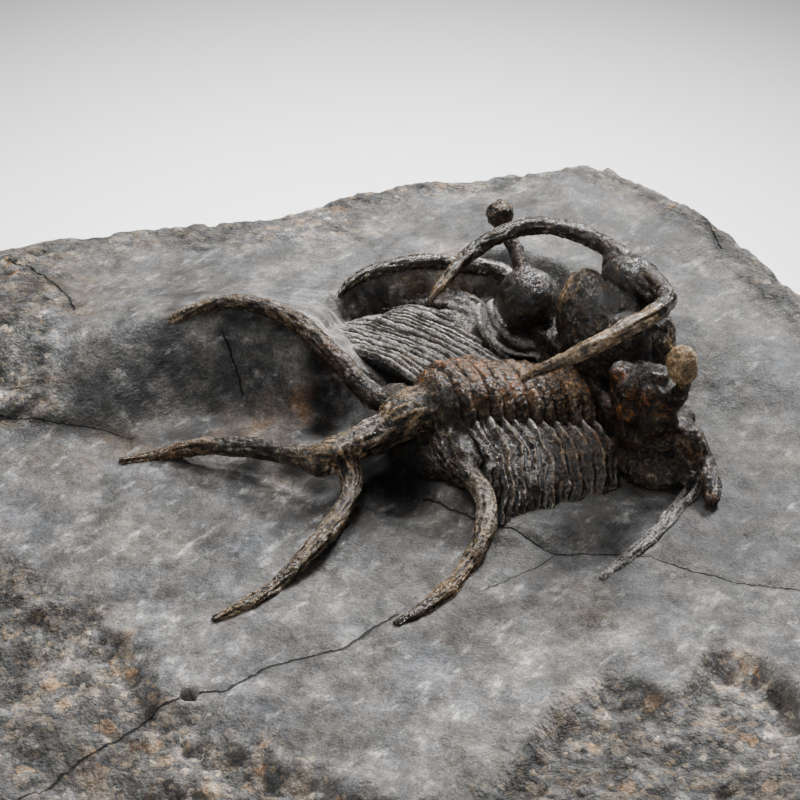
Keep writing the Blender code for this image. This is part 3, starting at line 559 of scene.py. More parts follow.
def stone_height(x, y):
    """Height of the stone's surface above the base, without its fine relief."""
    forward, left = to_animal(x, y)
    middle, radii = FOOTPRINT
    reach = np.abs((forward - middle[0]) / radii[0]) ** 3 + np.abs((left - middle[1]) / radii[1]) ** 3
    away = eased((reach ** (1.0 / 3.0) - 1.0) * FOOTPRINT_BLEND)
    reaches = [-RIGHT_REACH, 0.0, LEFT_REACH]
    under = np.interp(left, reaches, [BED_UNDER_RIGHT, BED_UNDER_AXIS, BED_UNDER_LEFT])
    bed = ANIMAL_AT[2] + under
    height = bed + (open_ground(x, y) - bed) * away
    height -= TAIL_HOLLOW_DEPTH * eased(1.0 - out_of(forward, left, TAIL_HOLLOW))
    height -= MOAT_DEPTH * eased(MOAT_WIDTH - out_of(forward, left, MOAT))
    broken = eased((out_of(x, y, SMOOTH_OVAL) - SMOOTH_START) / SMOOTH_BLEND)
    waves = sum(rise * np.sin(along_x * x + along_y * y + start) for along_x, along_y, start, rise in WAVES)
    return height + waves * (WAVE_WORKED + WAVE_BROKEN * broken)


def stone_at(forward, left):
    """Height of the stone at a place on the animal, in the animal's frame."""
    x, y = to_block([(forward, left, 0.0)])[0, :2]
    return float(stone_height(np.array([x]), np.array([y]))[0]) - ANIMAL_AT[2]


def rim_radius(angle):
    """Distance from the hub to the block's edge in one direction, in plan."""
    direction = (math.cos(angle), math.sin(angle))
    corners = []
    for share_x, share_y in BLOCK_CORNERS:
        corners.append((share_x * BLOCK_LENGTH / 2.0 - HUB[0], share_y * BLOCK_DEPTH / 2.0 - HUB[1]))
    for index, (ax, ay) in enumerate(corners):
        bx, by = corners[(index + 1) % len(corners)]
        ex, ey = bx - ax, by - ay
        cross = direction[0] * ey - direction[1] * ex
        if abs(cross) < 1e-9:
            continue
        distance = (ax * ey - ay * ex) / cross
        along = (ax * direction[1] - ay * direction[0]) / cross
        if distance > 0.0 and 0.0 <= along <= 1.0:
            return distance
    return BLOCK_DEPTH / 2.0


def past(x, y, start, toward):
    """How far places lie from a start in the direction of another point, times their distance."""
    return (toward[0] - start[0]) * (x - start[0]) + (toward[1] - start[1]) * (y - start[1])


def crack_distance(x, y, points):
    """Signed distance to a crack in plan, and whether a place lies beside it and not past its ends."""
    best = np.full(len(x), 1e9)
    signed = np.zeros(len(x))
    for (ax, ay), (bx, by) in zip(points, points[1:]):
        length = math.hypot(bx - ax, by - ay)
        held = np.clip(((x - ax) * (bx - ax) + (y - ay) * (by - ay)) / length ** 2, 0.0, 1.0)
        gap = np.hypot(x - ax - held * (bx - ax), y - ay - held * (by - ay))
        side = np.sign((bx - ax) * (y - ay) - (by - ay) * (x - ax))
        closer = gap < best
        best = np.where(closer, gap, best)
        signed = np.where(closer, gap * side, signed)
    return signed, (past(x, y, points[0], points[1]) >= 0.0) & (past(x, y, points[-1], points[-2]) >= 0.0)


def read(items, key, width, kind=float):
    """Values of a mesh's vertices or edges, one row for each."""
    values = np.empty(len(items) * width, dtype=kind)
    items.foreach_get(key, values)
    return values.reshape(-1, width)


def points_of(mesh):
    """Places of a mesh's vertices."""
    return read(mesh.vertices, "co", 3)


def read_value(mesh, name):
    """Value kept on a mesh's vertices."""
    return read(mesh.attributes[name].data, "value", 1, np.float32)[:, 0]


def set_points(mesh, points):
    """Move a mesh's vertices."""
    mesh.vertices.foreach_set("co", np.ascontiguousarray(points).ravel())
    mesh.update()


def write_value(mesh, name, values):
    """Keep a number or a direction for each vertex, where node trees can read it."""
    values = np.ascontiguousarray(values, dtype=np.float32)
    kind, key = ("FLOAT", "value") if values.ndim == 1 else ("FLOAT_VECTOR", "vector")
    layer = mesh.attributes.get(name) or mesh.attributes.new(name, kind, "POINT")
    layer.data.foreach_set(key, values.ravel())


def raise_value(mesh, name, values):
    """Keep the larger of a mesh's value and the new one."""
    write_value(mesh, name, np.maximum(read_value(mesh, name), values))


def spread(values, mesh, rounds):
    """Even out rows of values over the neighbours of each vertex."""
    first, second = read(mesh.edges, "vertices", 2, np.int32).T
    count = np.maximum(np.bincount(np.concatenate([first, second]), minlength=len(values)).astype(float), 1.0)
    for _ in range(rounds):
        summed = np.stack([
            np.bincount(first, column[second], len(values)) + np.bincount(second, column[first], len(values))
            for column in values.T
        ], axis=1)
        values = 0.5 * values + 0.5 * summed / count[:, None]
    return values


def relief_of(mesh, rounds, full):
    """How far each vertex stands out of its surroundings, -1 to 1 when full is the height of a ridge."""
    points = points_of(mesh)
    out = np.einsum("ij,ij->i", points - spread(points, mesh, rounds), read(mesh.vertex_normals, "vector", 3))
    return np.clip(out / full, -1.0, 1.0)


def evaluated_mesh(holder):
    """Plain mesh of an object with its modifiers applied; the object is removed."""
    bpy.context.scene.collection.objects.link(holder)
    bpy.context.view_layer.update()
    result = holder.evaluated_get(bpy.context.evaluated_depsgraph_get())
    mesh = bpy.data.meshes.new_from_object(result)
    bpy.data.objects.remove(holder, do_unlink=True)
    return mesh


def built_mesh(name, build):
    """Mesh that a function fills through a builder."""
    builder = bmesh.new()
    build(builder)
    mesh = bpy.data.meshes.new(name)
    builder.to_mesh(mesh)
    builder.free()
    return mesh


def fused(name, meshes, grain):
    """One closed and slightly evened skin round several overlapping meshes."""
    whole = built_mesh(name, lambda builder: [builder.from_mesh(mesh) for mesh in meshes])
    holder = bpy.data.objects.new(name, whole)
    skin = holder.modifiers.new("skin", "REMESH")
    skin.mode = "VOXEL"
    skin.voxel_size = grain
    mesh = evaluated_mesh(holder)
    set_points(mesh, spread(points_of(mesh), mesh, 2))
    return mesh


def finished(name, mesh, node, finish, on_animal=True):
    """Put a finished mesh in its place, in metres, as the piece that stands for a node."""
    points = points_of(mesh)
    if on_animal:
        points = to_block(points)
    set_points(mesh, points * MM)
    mesh.materials.clear()
    mesh.materials.append(finish)
    mesh.polygons.foreach_set("material_index", np.zeros(len(mesh.polygons), dtype=np.int32))
    mesh.polygons.foreach_set("use_smooth", np.ones(len(mesh.polygons), dtype=bool))
    mesh.update()
    mesh.name = name
    piece = bpy.data.objects.new(name, mesh)
    bpy.context.scene.collection.objects.link(piece)
    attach(piece, "root")
    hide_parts(node)


class Wire:
    """Output of a node, which lets the formulas of a node tree be written plainly."""

    def __init__(self, node, output=0):
        self.node = node
        self.output = output

    def __getitem__(self, output):
        return Wire(self.node, output)

    def __add__(self, other):
        return maths("ADD", self, other)

    def __sub__(self, other):
        return maths("SUBTRACT", self, other)

    def __rsub__(self, other):
        return maths("SUBTRACT", other, self)

    def __mul__(self, other):
        return maths("MULTIPLY", self, other)

    def __truediv__(self, other):
        return maths("DIVIDE", self, other)

    def __rtruediv__(self, other):
        return maths("DIVIDE", other, self)

    def __pow__(self, other):
        return maths("POWER", self, other)

    def __abs__(self):
        return maths("ABSOLUTE", self)

    def held(self):
        """The same Math node's output, kept between 0 and 1."""
        self.node.use_clamp = True
        return self


def fill(tree, node, inputs):
    """Fill a node's inputs with values or with other nodes' outputs."""
    for key, value in inputs.items():
        if isinstance(value, Wire):
            tree.links.new(value.node.outputs[value.output], node.inputs[key])
        else:
            node.inputs[key].default_value = value


def put(tree, kind, inputs=None, **settings):
    """Add a node, set its properties, fill its inputs and hand back its output."""
    node = tree.nodes.new(kind)
    for key, value in settings.items():
        setattr(node, key, value)
    fill(tree, node, inputs or {})
    return Wire(node)


def tree_of(*values):
    """Node tree that a formula's values belong to."""
    return next(value.node.id_data for value in values if isinstance(value, Wire))


def maths(operation, *values):
    """Output of a Math node."""
    return put(tree_of(*values), "ShaderNodeMath", dict(enumerate(values)), operation=operation)


def vectors(operation, *values):
    """Output of a Vector Math node."""
    return put(tree_of(*values), "ShaderNodeVectorMath", dict(enumerate(values)), operation=operation)


def scaled(vector, factor):
    """A vector times a number."""
    inputs = {"Vector": vector, "Scale": factor}
    return put(tree_of(vector), "ShaderNodeVectorMath", inputs, operation="SCALE")


def cloud(place, scale, detail, roughness=0.5, seed=None):
    """Noise texture at a place; a seed gives it a draw of its own."""
    inputs = {"Vector": place, "Scale": scale, "Detail": detail, "Roughness": roughness}
    if seed is None:
        return put(tree_of(place), "ShaderNodeTexNoise", inputs)
    return put(tree_of(place), "ShaderNodeTexNoise", {**inputs, "W": seed}, noise_dimensions="4D")


def new_group(name, kind, inputs, outputs):
    """Node group with named inputs (name, socket type, value) and outputs (name, socket type)."""
    tree = bpy.data.node_groups.new(name, kind)
    for label, socket, value in inputs:
        item = tree.interface.new_socket(name=label, in_out="INPUT", socket_type="NodeSocket" + socket)
        if value is not None:
            item.default_value = value
    for label, socket in outputs:
        tree.interface.new_socket(name=label, in_out="OUTPUT", socket_type="NodeSocket" + socket)
    return tree, put(tree, "NodeGroupInput")


def named_value(tree, name, data_type="FLOAT"):
    """Value kept on the points of a geometry."""
    return put(tree, "GeometryNodeInputNamedAttribute", {"Name": name}, data_type=data_type)


def stored(geometry, name, value, data_type="FLOAT"):
    """Geometry with a value kept on its points."""
    return put(
        tree_of(geometry), "GeometryNodeStoreNamedAttribute",
        {"Geometry": geometry, "Name": name, "Value": value},
        data_type=data_type, domain="POINT",
    )


def section(tree, given):
    """Circle to sweep along a line, whose points know their turn round it."""
    ring = put(tree, "GeometryNodeCurvePrimitiveCircle", {"Resolution": given["Around"], "Radius": 1.0})
    return stored(ring, "turn", put(tree, "GeometryNodeSplineParameter")["Factor"])


def end_tree(given, label, geometry):
    """Make a tree's geometry real, give it its finish and hand it out."""
    tree = tree_of(given)
    real = put(tree, "GeometryNodeRealizeInstances", {"Geometry": geometry})
    dressed = put(tree, "GeometryNodeSetMaterial", {"Geometry": real, "Material": given["Finish"]})
    put(tree, "NodeGroupOutput", {label: dressed})


def spine_tree():
    """Spine swept along a guide line: a round section with lengthwise flutes and a wrinkled skin."""
    tree, given = new_group("spine", "GeometryNodeTree", [
        ("Guide", "Geometry", None), ("Around", "Int", 40), ("Flutes", "Float", 7.0),
        ("Flute Depth", "Float", 0.08),
        ("Wrinkle", "Float", 0.08), ("Seed", "Float", 0.0), ("Finish", "Material", None),
    ], [("Spine", "Geometry")])
    line = put(tree, "GeometryNodeMeshToCurve", {"Mesh": given["Guide"]})
    radius = named_value(tree, "radius")
    tube = put(tree, "GeometryNodeCurveToMesh", {
        "Curve": line, "Profile Curve": section(tree, given), "Scale": radius, "Fill Caps": True,
    })
    angle = named_value(tree, "turn") * given["Flutes"] * math.tau
    flute = maths("COSINE", angle) * given["Flute Depth"]
    waves = cloud(put(tree, "GeometryNodeInputPosition"), 0.9, 4.0, 0.6, seed=given["Seed"])
    wrinkle = (waves - 0.5) * given["Wrinkle"]
    lift = (flute + wrinkle * 4.0) * radius
    moved = put(tree, "GeometryNodeSetPosition", {
        "Geometry": tube, "Offset": scaled(put(tree, "GeometryNodeInputNormal"), lift),
    })
    end_tree(given, "Spine", moved)


def rib_tree():
    """Rib of the thorax swept along its line across the back, with a crest, a groove and a weaker crest."""
    tree, given = new_group("rib", "GeometryNodeTree", [
        ("Guide", "Geometry", None), ("Around", "Int", 48), ("Thickness", "Float", 1.2),
        ("Ring Height", "Float", 0.55), ("Crest Height", "Float", 0.5), ("Second Crest", "Float", 0.5),
        ("Wrinkle", "Float", 0.24), ("Seed", "Float", 0.0), ("Finish", "Material", None),
    ], [("Rib", "Geometry")])
    line = put(tree, "GeometryNodeMeshToCurve", {"Mesh": given["Guide"]})
    line = stored(line, "centre", put(tree, "GeometryNodeInputPosition"), "FLOAT_VECTOR")
    tube = put(tree, "GeometryNodeCurveToMesh", {
        "Curve": line, "Profile Curve": section(tree, given), "Scale": 0.2, "Fill Caps": True,
    })
    angle = named_value(tree, "turn") * math.tau
    side = maths("COSINE", angle)
    rise = maths("SINE", angle)
    across = maths("SIGN", side) * abs(side) ** 0.75
    upper = maths("GREATER_THAN", rise, 0.0)

    def bump(middle, width, height):
        """A rounded ridge in the section, at a share of the half width."""
        away = (across - middle) / width
        return maths("EXPONENT", away * away * -1.0) * height

    edge = 1.0 - abs(across) ** 3.0
    second = given["Second Crest"] * named_value(tree, "second")
    crest = bump(0.38, 0.19, given["Crest Height"]) + bump(-0.52, 0.17, second) + edge * 0.14
    top = put(tree, "ShaderNodeMix", {
        "Factor": named_value(tree, "ringed"), "A": crest, "B": edge * given["Ring Height"],
    })
    under = abs(rise) ** 0.3 * given["Thickness"] * -1.0
    full = put(tree, "ShaderNodeMix", {"Factor": upper, "A": under, "B": top})
    height = full * named_value(tree, "slender")
    beside = scaled(named_value(tree, "across", "FLOAT_VECTOR"), across * named_value(tree, "half_width"))
    outward = named_value(tree, "outward", "FLOAT_VECTOR")
    below = vectors("ADD", named_value(tree, "centre", "FLOAT_VECTOR"), beside)
    place = vectors("ADD", below, scaled(outward, height))
    shaped = put(tree, "GeometryNodeSetPosition", {"Geometry": tube, "Position": place})
    shaped = stored(shaped, "crest", height * upper)
    skin = cloud(put(tree, "GeometryNodeInputPosition"), 1.5, 5.0, 0.62, seed=given["Seed"])
    wrinkle = (skin - 0.5) * given["Wrinkle"] * 2.0
    moved = put(tree, "GeometryNodeSetPosition", {"Geometry": shaped, "Offset": scaled(outward, wrinkle)})
    end_tree(given, "Rib", moved)


def granule_tree():
    """Granules scattered over a surface and joined to it."""
    tree, given = new_group("granules", "GeometryNodeTree", [
        ("Surface", "Geometry", None), ("Density", "Float", 3.0), ("Smallest", "Float", 0.12),
        ("Largest", "Float", 0.26), ("Seed", "Int", 1), ("Finish", "Material", None),
    ], [("Surface", "Geometry")])
    scattered = put(tree, "GeometryNodeDistributePointsOnFaces", {
        "Mesh": given["Surface"], "Density": given["Density"], "Seed": given["Seed"],
    })
    grain = put(tree, "GeometryNodeMeshIcoSphere", {"Radius": 1.0, "Subdivisions": 2})
    sizes = {2: given["Smallest"], 3: given["Largest"], "Seed": given["Seed"]}
    size = put(tree, "FunctionNodeRandomValue", sizes)
    grains = {"Points": scattered, "Instance": grain, "Scale": size[1]}
    set_down = put(tree, "GeometryNodeInstanceOnPoints", grains)
    both = put(tree, "GeometryNodeJoinGeometry", {0: given["Surface"]})
    fill(tree, both.node, {0: set_down})
    end_tree(given, "Surface", both)


def grown(name, guide, settings):
    """Plain mesh that a named node tree grows from a guide, with named settings."""
    holder = bpy.data.objects.new(name, guide)
    modifier = holder.modifiers.new(name, "NODES")
    modifier.node_group = bpy.data.node_groups[name]
    for item in modifier.node_group.interface.items_tree:
        if item.item_type == "SOCKET" and item.in_out == "INPUT" and item.name in settings:
            modifier[item.identifier] = settings[item.name]
    return evaluated_mesh(holder)


def smooth_path(points, spacing):
    """Points of a Catmull-Rom curve through the given ones; the last value is the radius."""
    ends = [points[0]] + list(points) + [points[-1]]
    path = []
    for before, start, stop, after in zip(ends, ends[1:], ends[2:], ends[3:]):
        steps = max(1, round(math.dist(start[:3], stop[:3]) / spacing))
        for step in range(steps):
            t = step / steps
            place = []
            for a, b, c, d in zip(before, start, stop, after):
                curve = 2.0 * b + (c - a) * t + (2.0 * a - 5.0 * b + 4.0 * c - d) * t ** 2
                place.append((curve + (3.0 * b - a - 3.0 * c + d) * t ** 3) / 2.0)
            path.append(place)
    path.append(list(points[-1]))
    return np.array(path)


def lying(points, sunk):
    """Give points that lie on the stone their height, sunk by a share of their radius."""
    return [(f, left, stone_at(f, left) + radius * (1.0 - sunk), radius) for f, left, radius in points]


def mirrored(points):
    """The same points on the animal's right side."""
    return [(f, -left, up, radius) for f, left, up, radius in points]


def line_mesh(name, places):
    """Mesh of one line through places."""
    mesh = bpy.data.meshes.new(name)
    mesh.from_pydata(places.tolist(), [(i, i + 1) for i in range(len(places) - 1)], [])
    return mesh


def spine(points, flutes, depth, wrinkle, seed, uneven=0.16):
    """Tapered, fluted and knobbly spine along points that hold a place and a radius."""
    path = smooth_path(points, 0.3)
    path[:, 3] *= SLIMMER * (1.0 + uneven * noise(path[:, :3] + seed, 2.4, 90, 2))
    ends = np.minimum(np.arange(len(path)), np.arange(len(path))[::-1]) * 0.3 / np.maximum(path[:, 3], 0.2)
    rounding = np.sqrt(np.clip(1.0 - (1.0 - np.clip(ends, 0.0, 1.0)) ** 2, 0.02, 1.0))
    guide = line_mesh("spine_line", path[:, :3])
    write_value(guide, "radius", path[:, 3] * rounding)
    return grown("spine", guide, {"Flutes": flutes, "Flute Depth": depth, "Wrinkle": wrinkle, "Seed": seed})


def ball(centre, radii, fineness=5):
    """Sphere stretched to its three radii."""
    mesh = built_mesh("ball", lambda builder: bmesh.ops.create_icosphere(
        builder, subdivisions=fineness, radius=1.0,
    ))
    set_points(mesh, points_of(mesh) * np.array(radii) + np.array(centre))
    return mesh


def granulated(centre, radii, density, sizes, seed, fineness=5):
    """Ball with so many granules on each square millimetre, of between two sizes."""
    return grown("granules", ball(centre, radii, fineness), {
        "Density": density, "Smallest": sizes[0], "Largest": sizes[1], "Seed": seed,
    })


def swept(start, left):
    """How far forward a segment's line lies at a place to the left of the middle."""
    return start - on_side(left, LEFT_SWEEP, RIGHT_SWEEP) * np.maximum(0.0, np.abs(left) - FLAT_TO) ** 2


def back_height(start, left):
    """Height of the shell's top on the line of one segment."""
    base = np.interp(start, BACK_AT, BACK_LEVEL)
    span = np.abs(left)
    axis = base + AXIS_RISE * np.sqrt(np.clip(1.0 - (span / AXIS_HALF_WIDTH) ** 2, 0.0, 1.0))
    edge = on_side(left, LEFT_EDGE, RIGHT_EDGE)
    reach = on_side(left, LEFT_REACH, RIGHT_REACH)
    share = np.clip((span - FLAT_TO) / (reach - FLAT_TO), 0.0, 1.0)
    return np.where(span < AXIS_HALF_WIDTH, axis, base + (edge - base) * share ** EDGE_CURVE)


def segment_reach(start, widest, sweep, tip_line):
    """Half width of a segment on one side: the last ones end on the tail's front line."""
    return min(widest, FLAT_TO + math.sqrt(max(0.5, start - tip_line) / sweep))


def rib_guide(number):
    """Line of one rib across the back, with the directions and sizes of its section."""
    pitch = (THORAX_FRONT - THORAX_BACK) / SEGMENTS
    front = THORAX_FRONT - number * pitch
    right_reach = segment_reach(front, RIGHT_REACH, RIGHT_SWEEP, RIGHT_TIP_LINE)
    right_reach = right_reach + 0.9 + 0.4 * math.sin(2.7 * number)
    left_reach = segment_reach(front, LEFT_REACH, LEFT_SWEEP, LEFT_TIP_LINE) + 0.5
    turn = np.linspace(-1.0, 1.0, 71) * math.radians(86.0)
    axis = AXIS_HALF_WIDTH * np.sin(turn)
    right = -np.linspace(right_reach, AXIS_HALF_WIDTH + 0.25, 80)
    left = np.linspace(AXIS_HALF_WIDTH + 0.25, left_reach, 140)
    across = np.concatenate([right, axis, left])
    line = np.stack([swept(front - 0.5 * pitch, across), across, back_height(front, across)], axis=1)
    for _ in range(2):
        line[1:-1] = 0.25 * line[:-2] + 0.5 * line[1:-1] + 0.25 * line[2:]
    reach = on_side(across, left_reach, right_reach)
    tip = np.clip((np.abs(across) - reach + TIP_LENGTH) / TIP_LENGTH, 0.0, 1.0)
    line[:, 2] -= on_side(across, *TIP_DIPS) * tip ** 2
    along = np.gradient(line, axis=0)
    along /= np.linalg.norm(along, axis=1, keepdims=True)
    ahead = np.array([1.0, 0.0, 0.0]) - along * along[:, :1]
    ahead /= np.linalg.norm(ahead, axis=1, keepdims=True)
    guide = line_mesh("rib_line", line)
    slope = np.clip(np.abs(ahead[:, 0]), 0.35, 1.0)
    thin = np.interp(across, [-7.5, -AXIS_HALF_WIDTH - 0.5], [0.62, 1.0])
    for name, values in (
        ("across", ahead), ("outward", np.cross(ahead, along)),
        ("half_width", pitch * 0.56 * slope * (1.0 - 0.2 * tip ** 2)),
        ("slender", (1.0 - 0.55 * tip ** 2) * thin),
        ("second", on_side(across, 1.0, 0.45)),
        ("ringed", eased((AXIS_HALF_WIDTH + 0.8 - np.abs(across)) / 1.2)),
    ):
        write_value(guide, name, values)
    return guide


def block_mesh():
    """The block: its worked and broken top, its broken sides and its flat base."""
    angles = np.arange(SPOKES) * math.tau / SPOKES
    spin = flat(np.cos(angles), np.sin(angles))
    rim = np.array([rim_radius(angle) for angle in angles])
    rim -= 0.55 * (1.0 + stone_noise(spin * 60.0, "outline"))
    shares = (np.arange(1, RINGS + 1) / RINGS) ** 1.1
    reach = shares[:, None] * rim[None, :]
    x = np.concatenate([[HUB[0]], (HUB[0] + reach * spin[:, 0]).ravel()])
    y = np.concatenate([[HUB[1]], (HUB[1] + reach * spin[:, 1]).ravel()])
    height, layers = stone_top(x, y, np.concatenate([[0.0], np.repeat(shares, SPOKES)]))
    top = np.stack([x, y, height], axis=1)
    edge = top[-SPOKES:]
    rows = [top]
    for ring in range(1, WALL_RINGS + 1):
        down = ring / WALL_RINGS
        row = edge.copy()
        row[:, 2] = edge[:, 2] * (1.0 - down)
        bulge = stone_noise(row, "wall swell") + 0.5 * stone_noise(row, "wall ledges")
        inset = WALL_LEAN * down + 0.022 * (1.0 + bulge) * eased(3.2 * down)
        row[:, :2] = np.array(HUB) + (edge[:, :2] - np.array(HUB)) * (1.0 - np.clip(inset, 0.0, 0.2))[:, None]
        rows.append(row)
    rows.append(np.array([[HUB[0], HUB[1], 0.0]]))
    points = np.concatenate(rows)
    here = np.arange(SPOKES)
    after = (here + 1) % SPOKES
    faces = [(0, a + 1, b + 1) for a, b in zip(here.tolist(), after.tolist())]
    for ring in range(RINGS + WALL_RINGS - 1):
        inner = 1 + ring * SPOKES
        outer = inner + SPOKES
        faces += np.stack([inner + here, outer + here, outer + after, inner + after], axis=1).tolist()
    last = 1 + (RINGS + WALL_RINGS - 1) * SPOKES
    faces += [(last + b, last + a, len(points) - 1) for a, b in zip(here.tolist(), after.tolist())]
    mesh = bpy.data.meshes.new("matrix")
    mesh.from_pydata(points.tolist(), [], faces)
    mesh.update()
    for name, values in layers.items():
        of_walls = 9.0 if name.startswith("crack") else float(name in ("rough", "painted_light"))
        write_value(mesh, name, np.concatenate([values, np.full(len(points) - len(top), of_walls)]))
    # How far the stone stands out, which its finish paints as highlight on rises and shade in hollows.
    write_value(mesh, "relief", relief_of(mesh, 6, 0.22))
    return mesh


def levee(x, y, height, spine_points, fall):
    """Raise the stone behind a spine until it meets the spine's side."""
    line = to_block(smooth_path(spine_points, 1.0)[:, :3])
    line = line[np.argsort(line[:, 0])]
    beyond = np.maximum(line[0, 0] - x, 0.0) + np.maximum(x - line[-1, 0], 0.0)
    behind = y - np.interp(x, line[:, 0], line[:, 1])
    level = np.interp(x, line[:, 0], line[:, 2])
    target = level - LEVEE_DROP - fall * np.hypot(behind, 2.5 * beyond)
    return np.where(behind > 0.0, np.maximum(height, target), height)


def broken_share(x, y, share, places):
    """Where the stone is broken: past the bowl's edge, at the left, round the rim and at the back."""
    width = np.interp(x, STEP_WIDTH_X, STEP_WIDTHS)
    east = x + 2.4 * stone_noise(places, "front east")
    north = y + 2.4 * stone_noise(places, "front north")
    front = step_share(east, north, 0.7 * width)
    side = eased((-31.0 - x + 3.0 * stone_noise(places, "side")) / 5.0) * eased((y - 9.0) / 6.0)
    rim = eased((share - 0.86 + 0.07 * stone_noise(places, "rim")) / 0.08)
    back = eased((y - 38.0 + 4.0 * stone_noise(places, "back")) / 4.0) * eased((4.0 - x) / 8.0)
    return np.maximum.reduce([front, side, rim, 0.8 * back])


def stone_colours(x, y, places, crack_and_pit_shade):
    """How dark, stained and streaked the stone is in plan, and its painted light and painted shade."""
    forward, left = to_animal(x, y)
    painted = {
        name: patches(places, [
            (east, north, 0.0, radius, strength) for east, north, radius, strength in spots
        ])
        for name, spots in STONE_PATCHES.items()
    }
    crest_y = np.interp(x, BANK_X, BANK_Y)
    face = np.interp(x, BANK_X, BANK_FACE)
    # The wall behind the far spine: a darker stone, with painted shade where its face turns from the light.
    along_wall = eased((x + 36.0 + 3.0 * stone_noise(places, "wall end")) / 11.0) * eased((-3.0 - x) / 3.0)
    on_face = eased((y - crest_y + face) / 2.6) * eased((crest_y + 1.2 - y) / 1.2)
    # Painted light and painted shadow: the animal's shadow round it, less light towards the right and light
    # that changes with depth.
    shaded = eased(1.35 * (1.0 - out_of(forward, left, SHADOW_OVAL)))
    to_the_right = eased((x - 14.0) / 26.0) * eased((y + 28.0) / 18.0)
    with_depth = np.interp(y, PAINTED_LIGHT_Y, PAINTED_LIGHT)
    lit = with_depth * (1.0 - 0.42 * shaded) * (1.0 - 0.32 * to_the_right)
    return {
        "dark": along_wall * on_face, "stain": painted["stain"],
        "painted_light": lit * (1.0 + 1.1 * np.minimum(painted["pale floor"], 1.0)),
        "painted_shade": np.maximum(painted["painted_shade"], crack_and_pit_shade), "streak": painted["streak"],
    }


def stone_top(x, y, share):
    """Detailed height of the block's top, and the values that its finish reads."""
    places = flat(x, y)
    height = stone_height(x, y)
    forward, left = to_animal(x, y)
    width = np.interp(x, STEP_WIDTH_X, STEP_WIDTHS)
    height += FRONT_STEP_DROP * (step_share(x, y, FRONT_STEP_WIDTH) - step_share(x, y, width))
    height = levee(x, y, height, LEFT_SICKLE[3:], 0.30)
    height = levee(x, y, height, LEFT_CHEEK_SPINE[2:], 0.28)
    rough = broken_share(x, y, share, places)
    worked = 1.0 - rough
    flaked = places * np.array([1.0, 1.3, 1.0]) + 1.4 * stone_noise(places, "flake sway")[:, None]
    near, lot = cells(flaked, 3.6, 32)
    flakes = (lot - 0.5) * eased(1.35 - 1.1 * near)
    crumbs, _ = cells(places, 1.25, 39)
    grit = stone_noise(places, "grit")
    height += rough * (0.6 * stone_noise(places, "chips") + 0.65 * flakes + 0.3 * grit + 0.3 * (0.5 - crumbs))
    height += worked * (0.34 * stone_noise(places, "swell") + 0.13 * stone_noise(places, "pocks"))
    angle = np.arctan2(left, forward - 4.0)
    height += worked * 0.11 * stone_noise(flat(angle * 14.0, np.hypot(left, forward - 4.0) * 0.25), "combed")
    along_brush = np.cos(BRUSH_ANGLE) * x - np.sin(BRUSH_ANGLE) * y
    across_brush = np.sin(BRUSH_ANGLE) * x + np.cos(BRUSH_ANGLE) * y
    height += worked * 0.09 * stone_noise(flat(along_brush * 0.2, across_brush), "scratches")
    rows = forward + LEFT_SWEEP * np.maximum(np.abs(left) - FLAT_TO, 0.0) ** 2
    beyond = eased((left - 16.0) / 4.0) * eased((31.0 - left) / 8.0)
    beyond = beyond * eased((forward + 16.0) / 8.0) * eased((9.0 - forward) / 6.0)
    ridge = stone_noise(flat(rows, left * 0.12), "beyond the ribs")
    height += beyond * 0.2 * ridge
    pit = eased(2.2 * (1.0 - np.hypot(x - PIT_AT[0], 1.2 * (y - PIT_AT[1])) / PIT_RADIUS))
    height -= PIT_DEPTH * pit
    # comb: the ridges beyond the ribs, which the finish paints light on their tops and dark in their grooves.
    layers = {"rough": rough, "comb": beyond * np.clip(1.5 * ridge, -0.7, 0.7)}
    groove = np.zeros_like(x)
    # Painted shade in the pit and beside some cracks.
    painted_crack_and_pit_shade = pit
    for name, (crack_width, crack_shade_share, points) in CRACKS.items():
        signed, beside = crack_distance(x, y, points)
        layers["crack_" + name] = np.where(beside, np.clip(signed, -3.0, 3.0), 3.0)
        groove = np.maximum(groove, beside * np.exp(-(signed / (crack_width * 4.0 + 0.1)) ** 2))
        painted_crack_and_pit_shade = np.maximum(painted_crack_and_pit_shade, crack_shade_share * beside * np.exp(-(signed / 0.9) ** 2))
    height -= CRACK_DEPTH * groove
    layers.update(stone_colours(x, y, places, painted_crack_and_pit_shade))
    rim_share = eased((share - RIM_START) / (1.0 - RIM_START))
    height -= RIM_DROP * rim_share * (0.8 + 0.35 * stone_noise(places, "rim drop"))
    return np.minimum(height, STONE_TOP_LIMIT), layers


def skin_relief(mesh, seed, coarse, fibre, calm=0.0):
    """Give a shell its lumps, pits, wrinkles and fibres; calm is 1 where it stays smooth."""
    points = points_of(mesh)
    swell = noise(points, 2.3, seed, 2)
    crinkle = noise(points, 0.95, seed + 1, 3, ridged=True)
    plain = 1.0 - np.clip(np.abs(fibre) * 3.0, 0.0, 0.6)
    lift = (1.0 - 0.9 * calm) * (coarse * swell + plain * 0.17 * (crinkle - 0.3)) + 0.2 * fibre
    set_points(mesh, points + read(mesh.vertex_normals, "vector", 3) * lift[:, None])


def keep_looks(mesh, fibre, looks):
    """Keep what the shell's finish reads: its fine relief, the painted shade of its broad hollows, and its
    patches of gloss and colour.
    """
    points = points_of(mesh)
    write_value(mesh, "relief", np.clip(relief_of(mesh, 8, 0.13) + 0.85 * fibre, -1.0, 1.0))
    # Painted shade: darker in the broad hollows.
    write_value(mesh, "painted_shade_in_hollows", np.clip(-relief_of(mesh, 70, 0.8), 0.0, 1.0))
    for name, spots in looks.items():
        write_value(mesh, name, patches(points, spots))


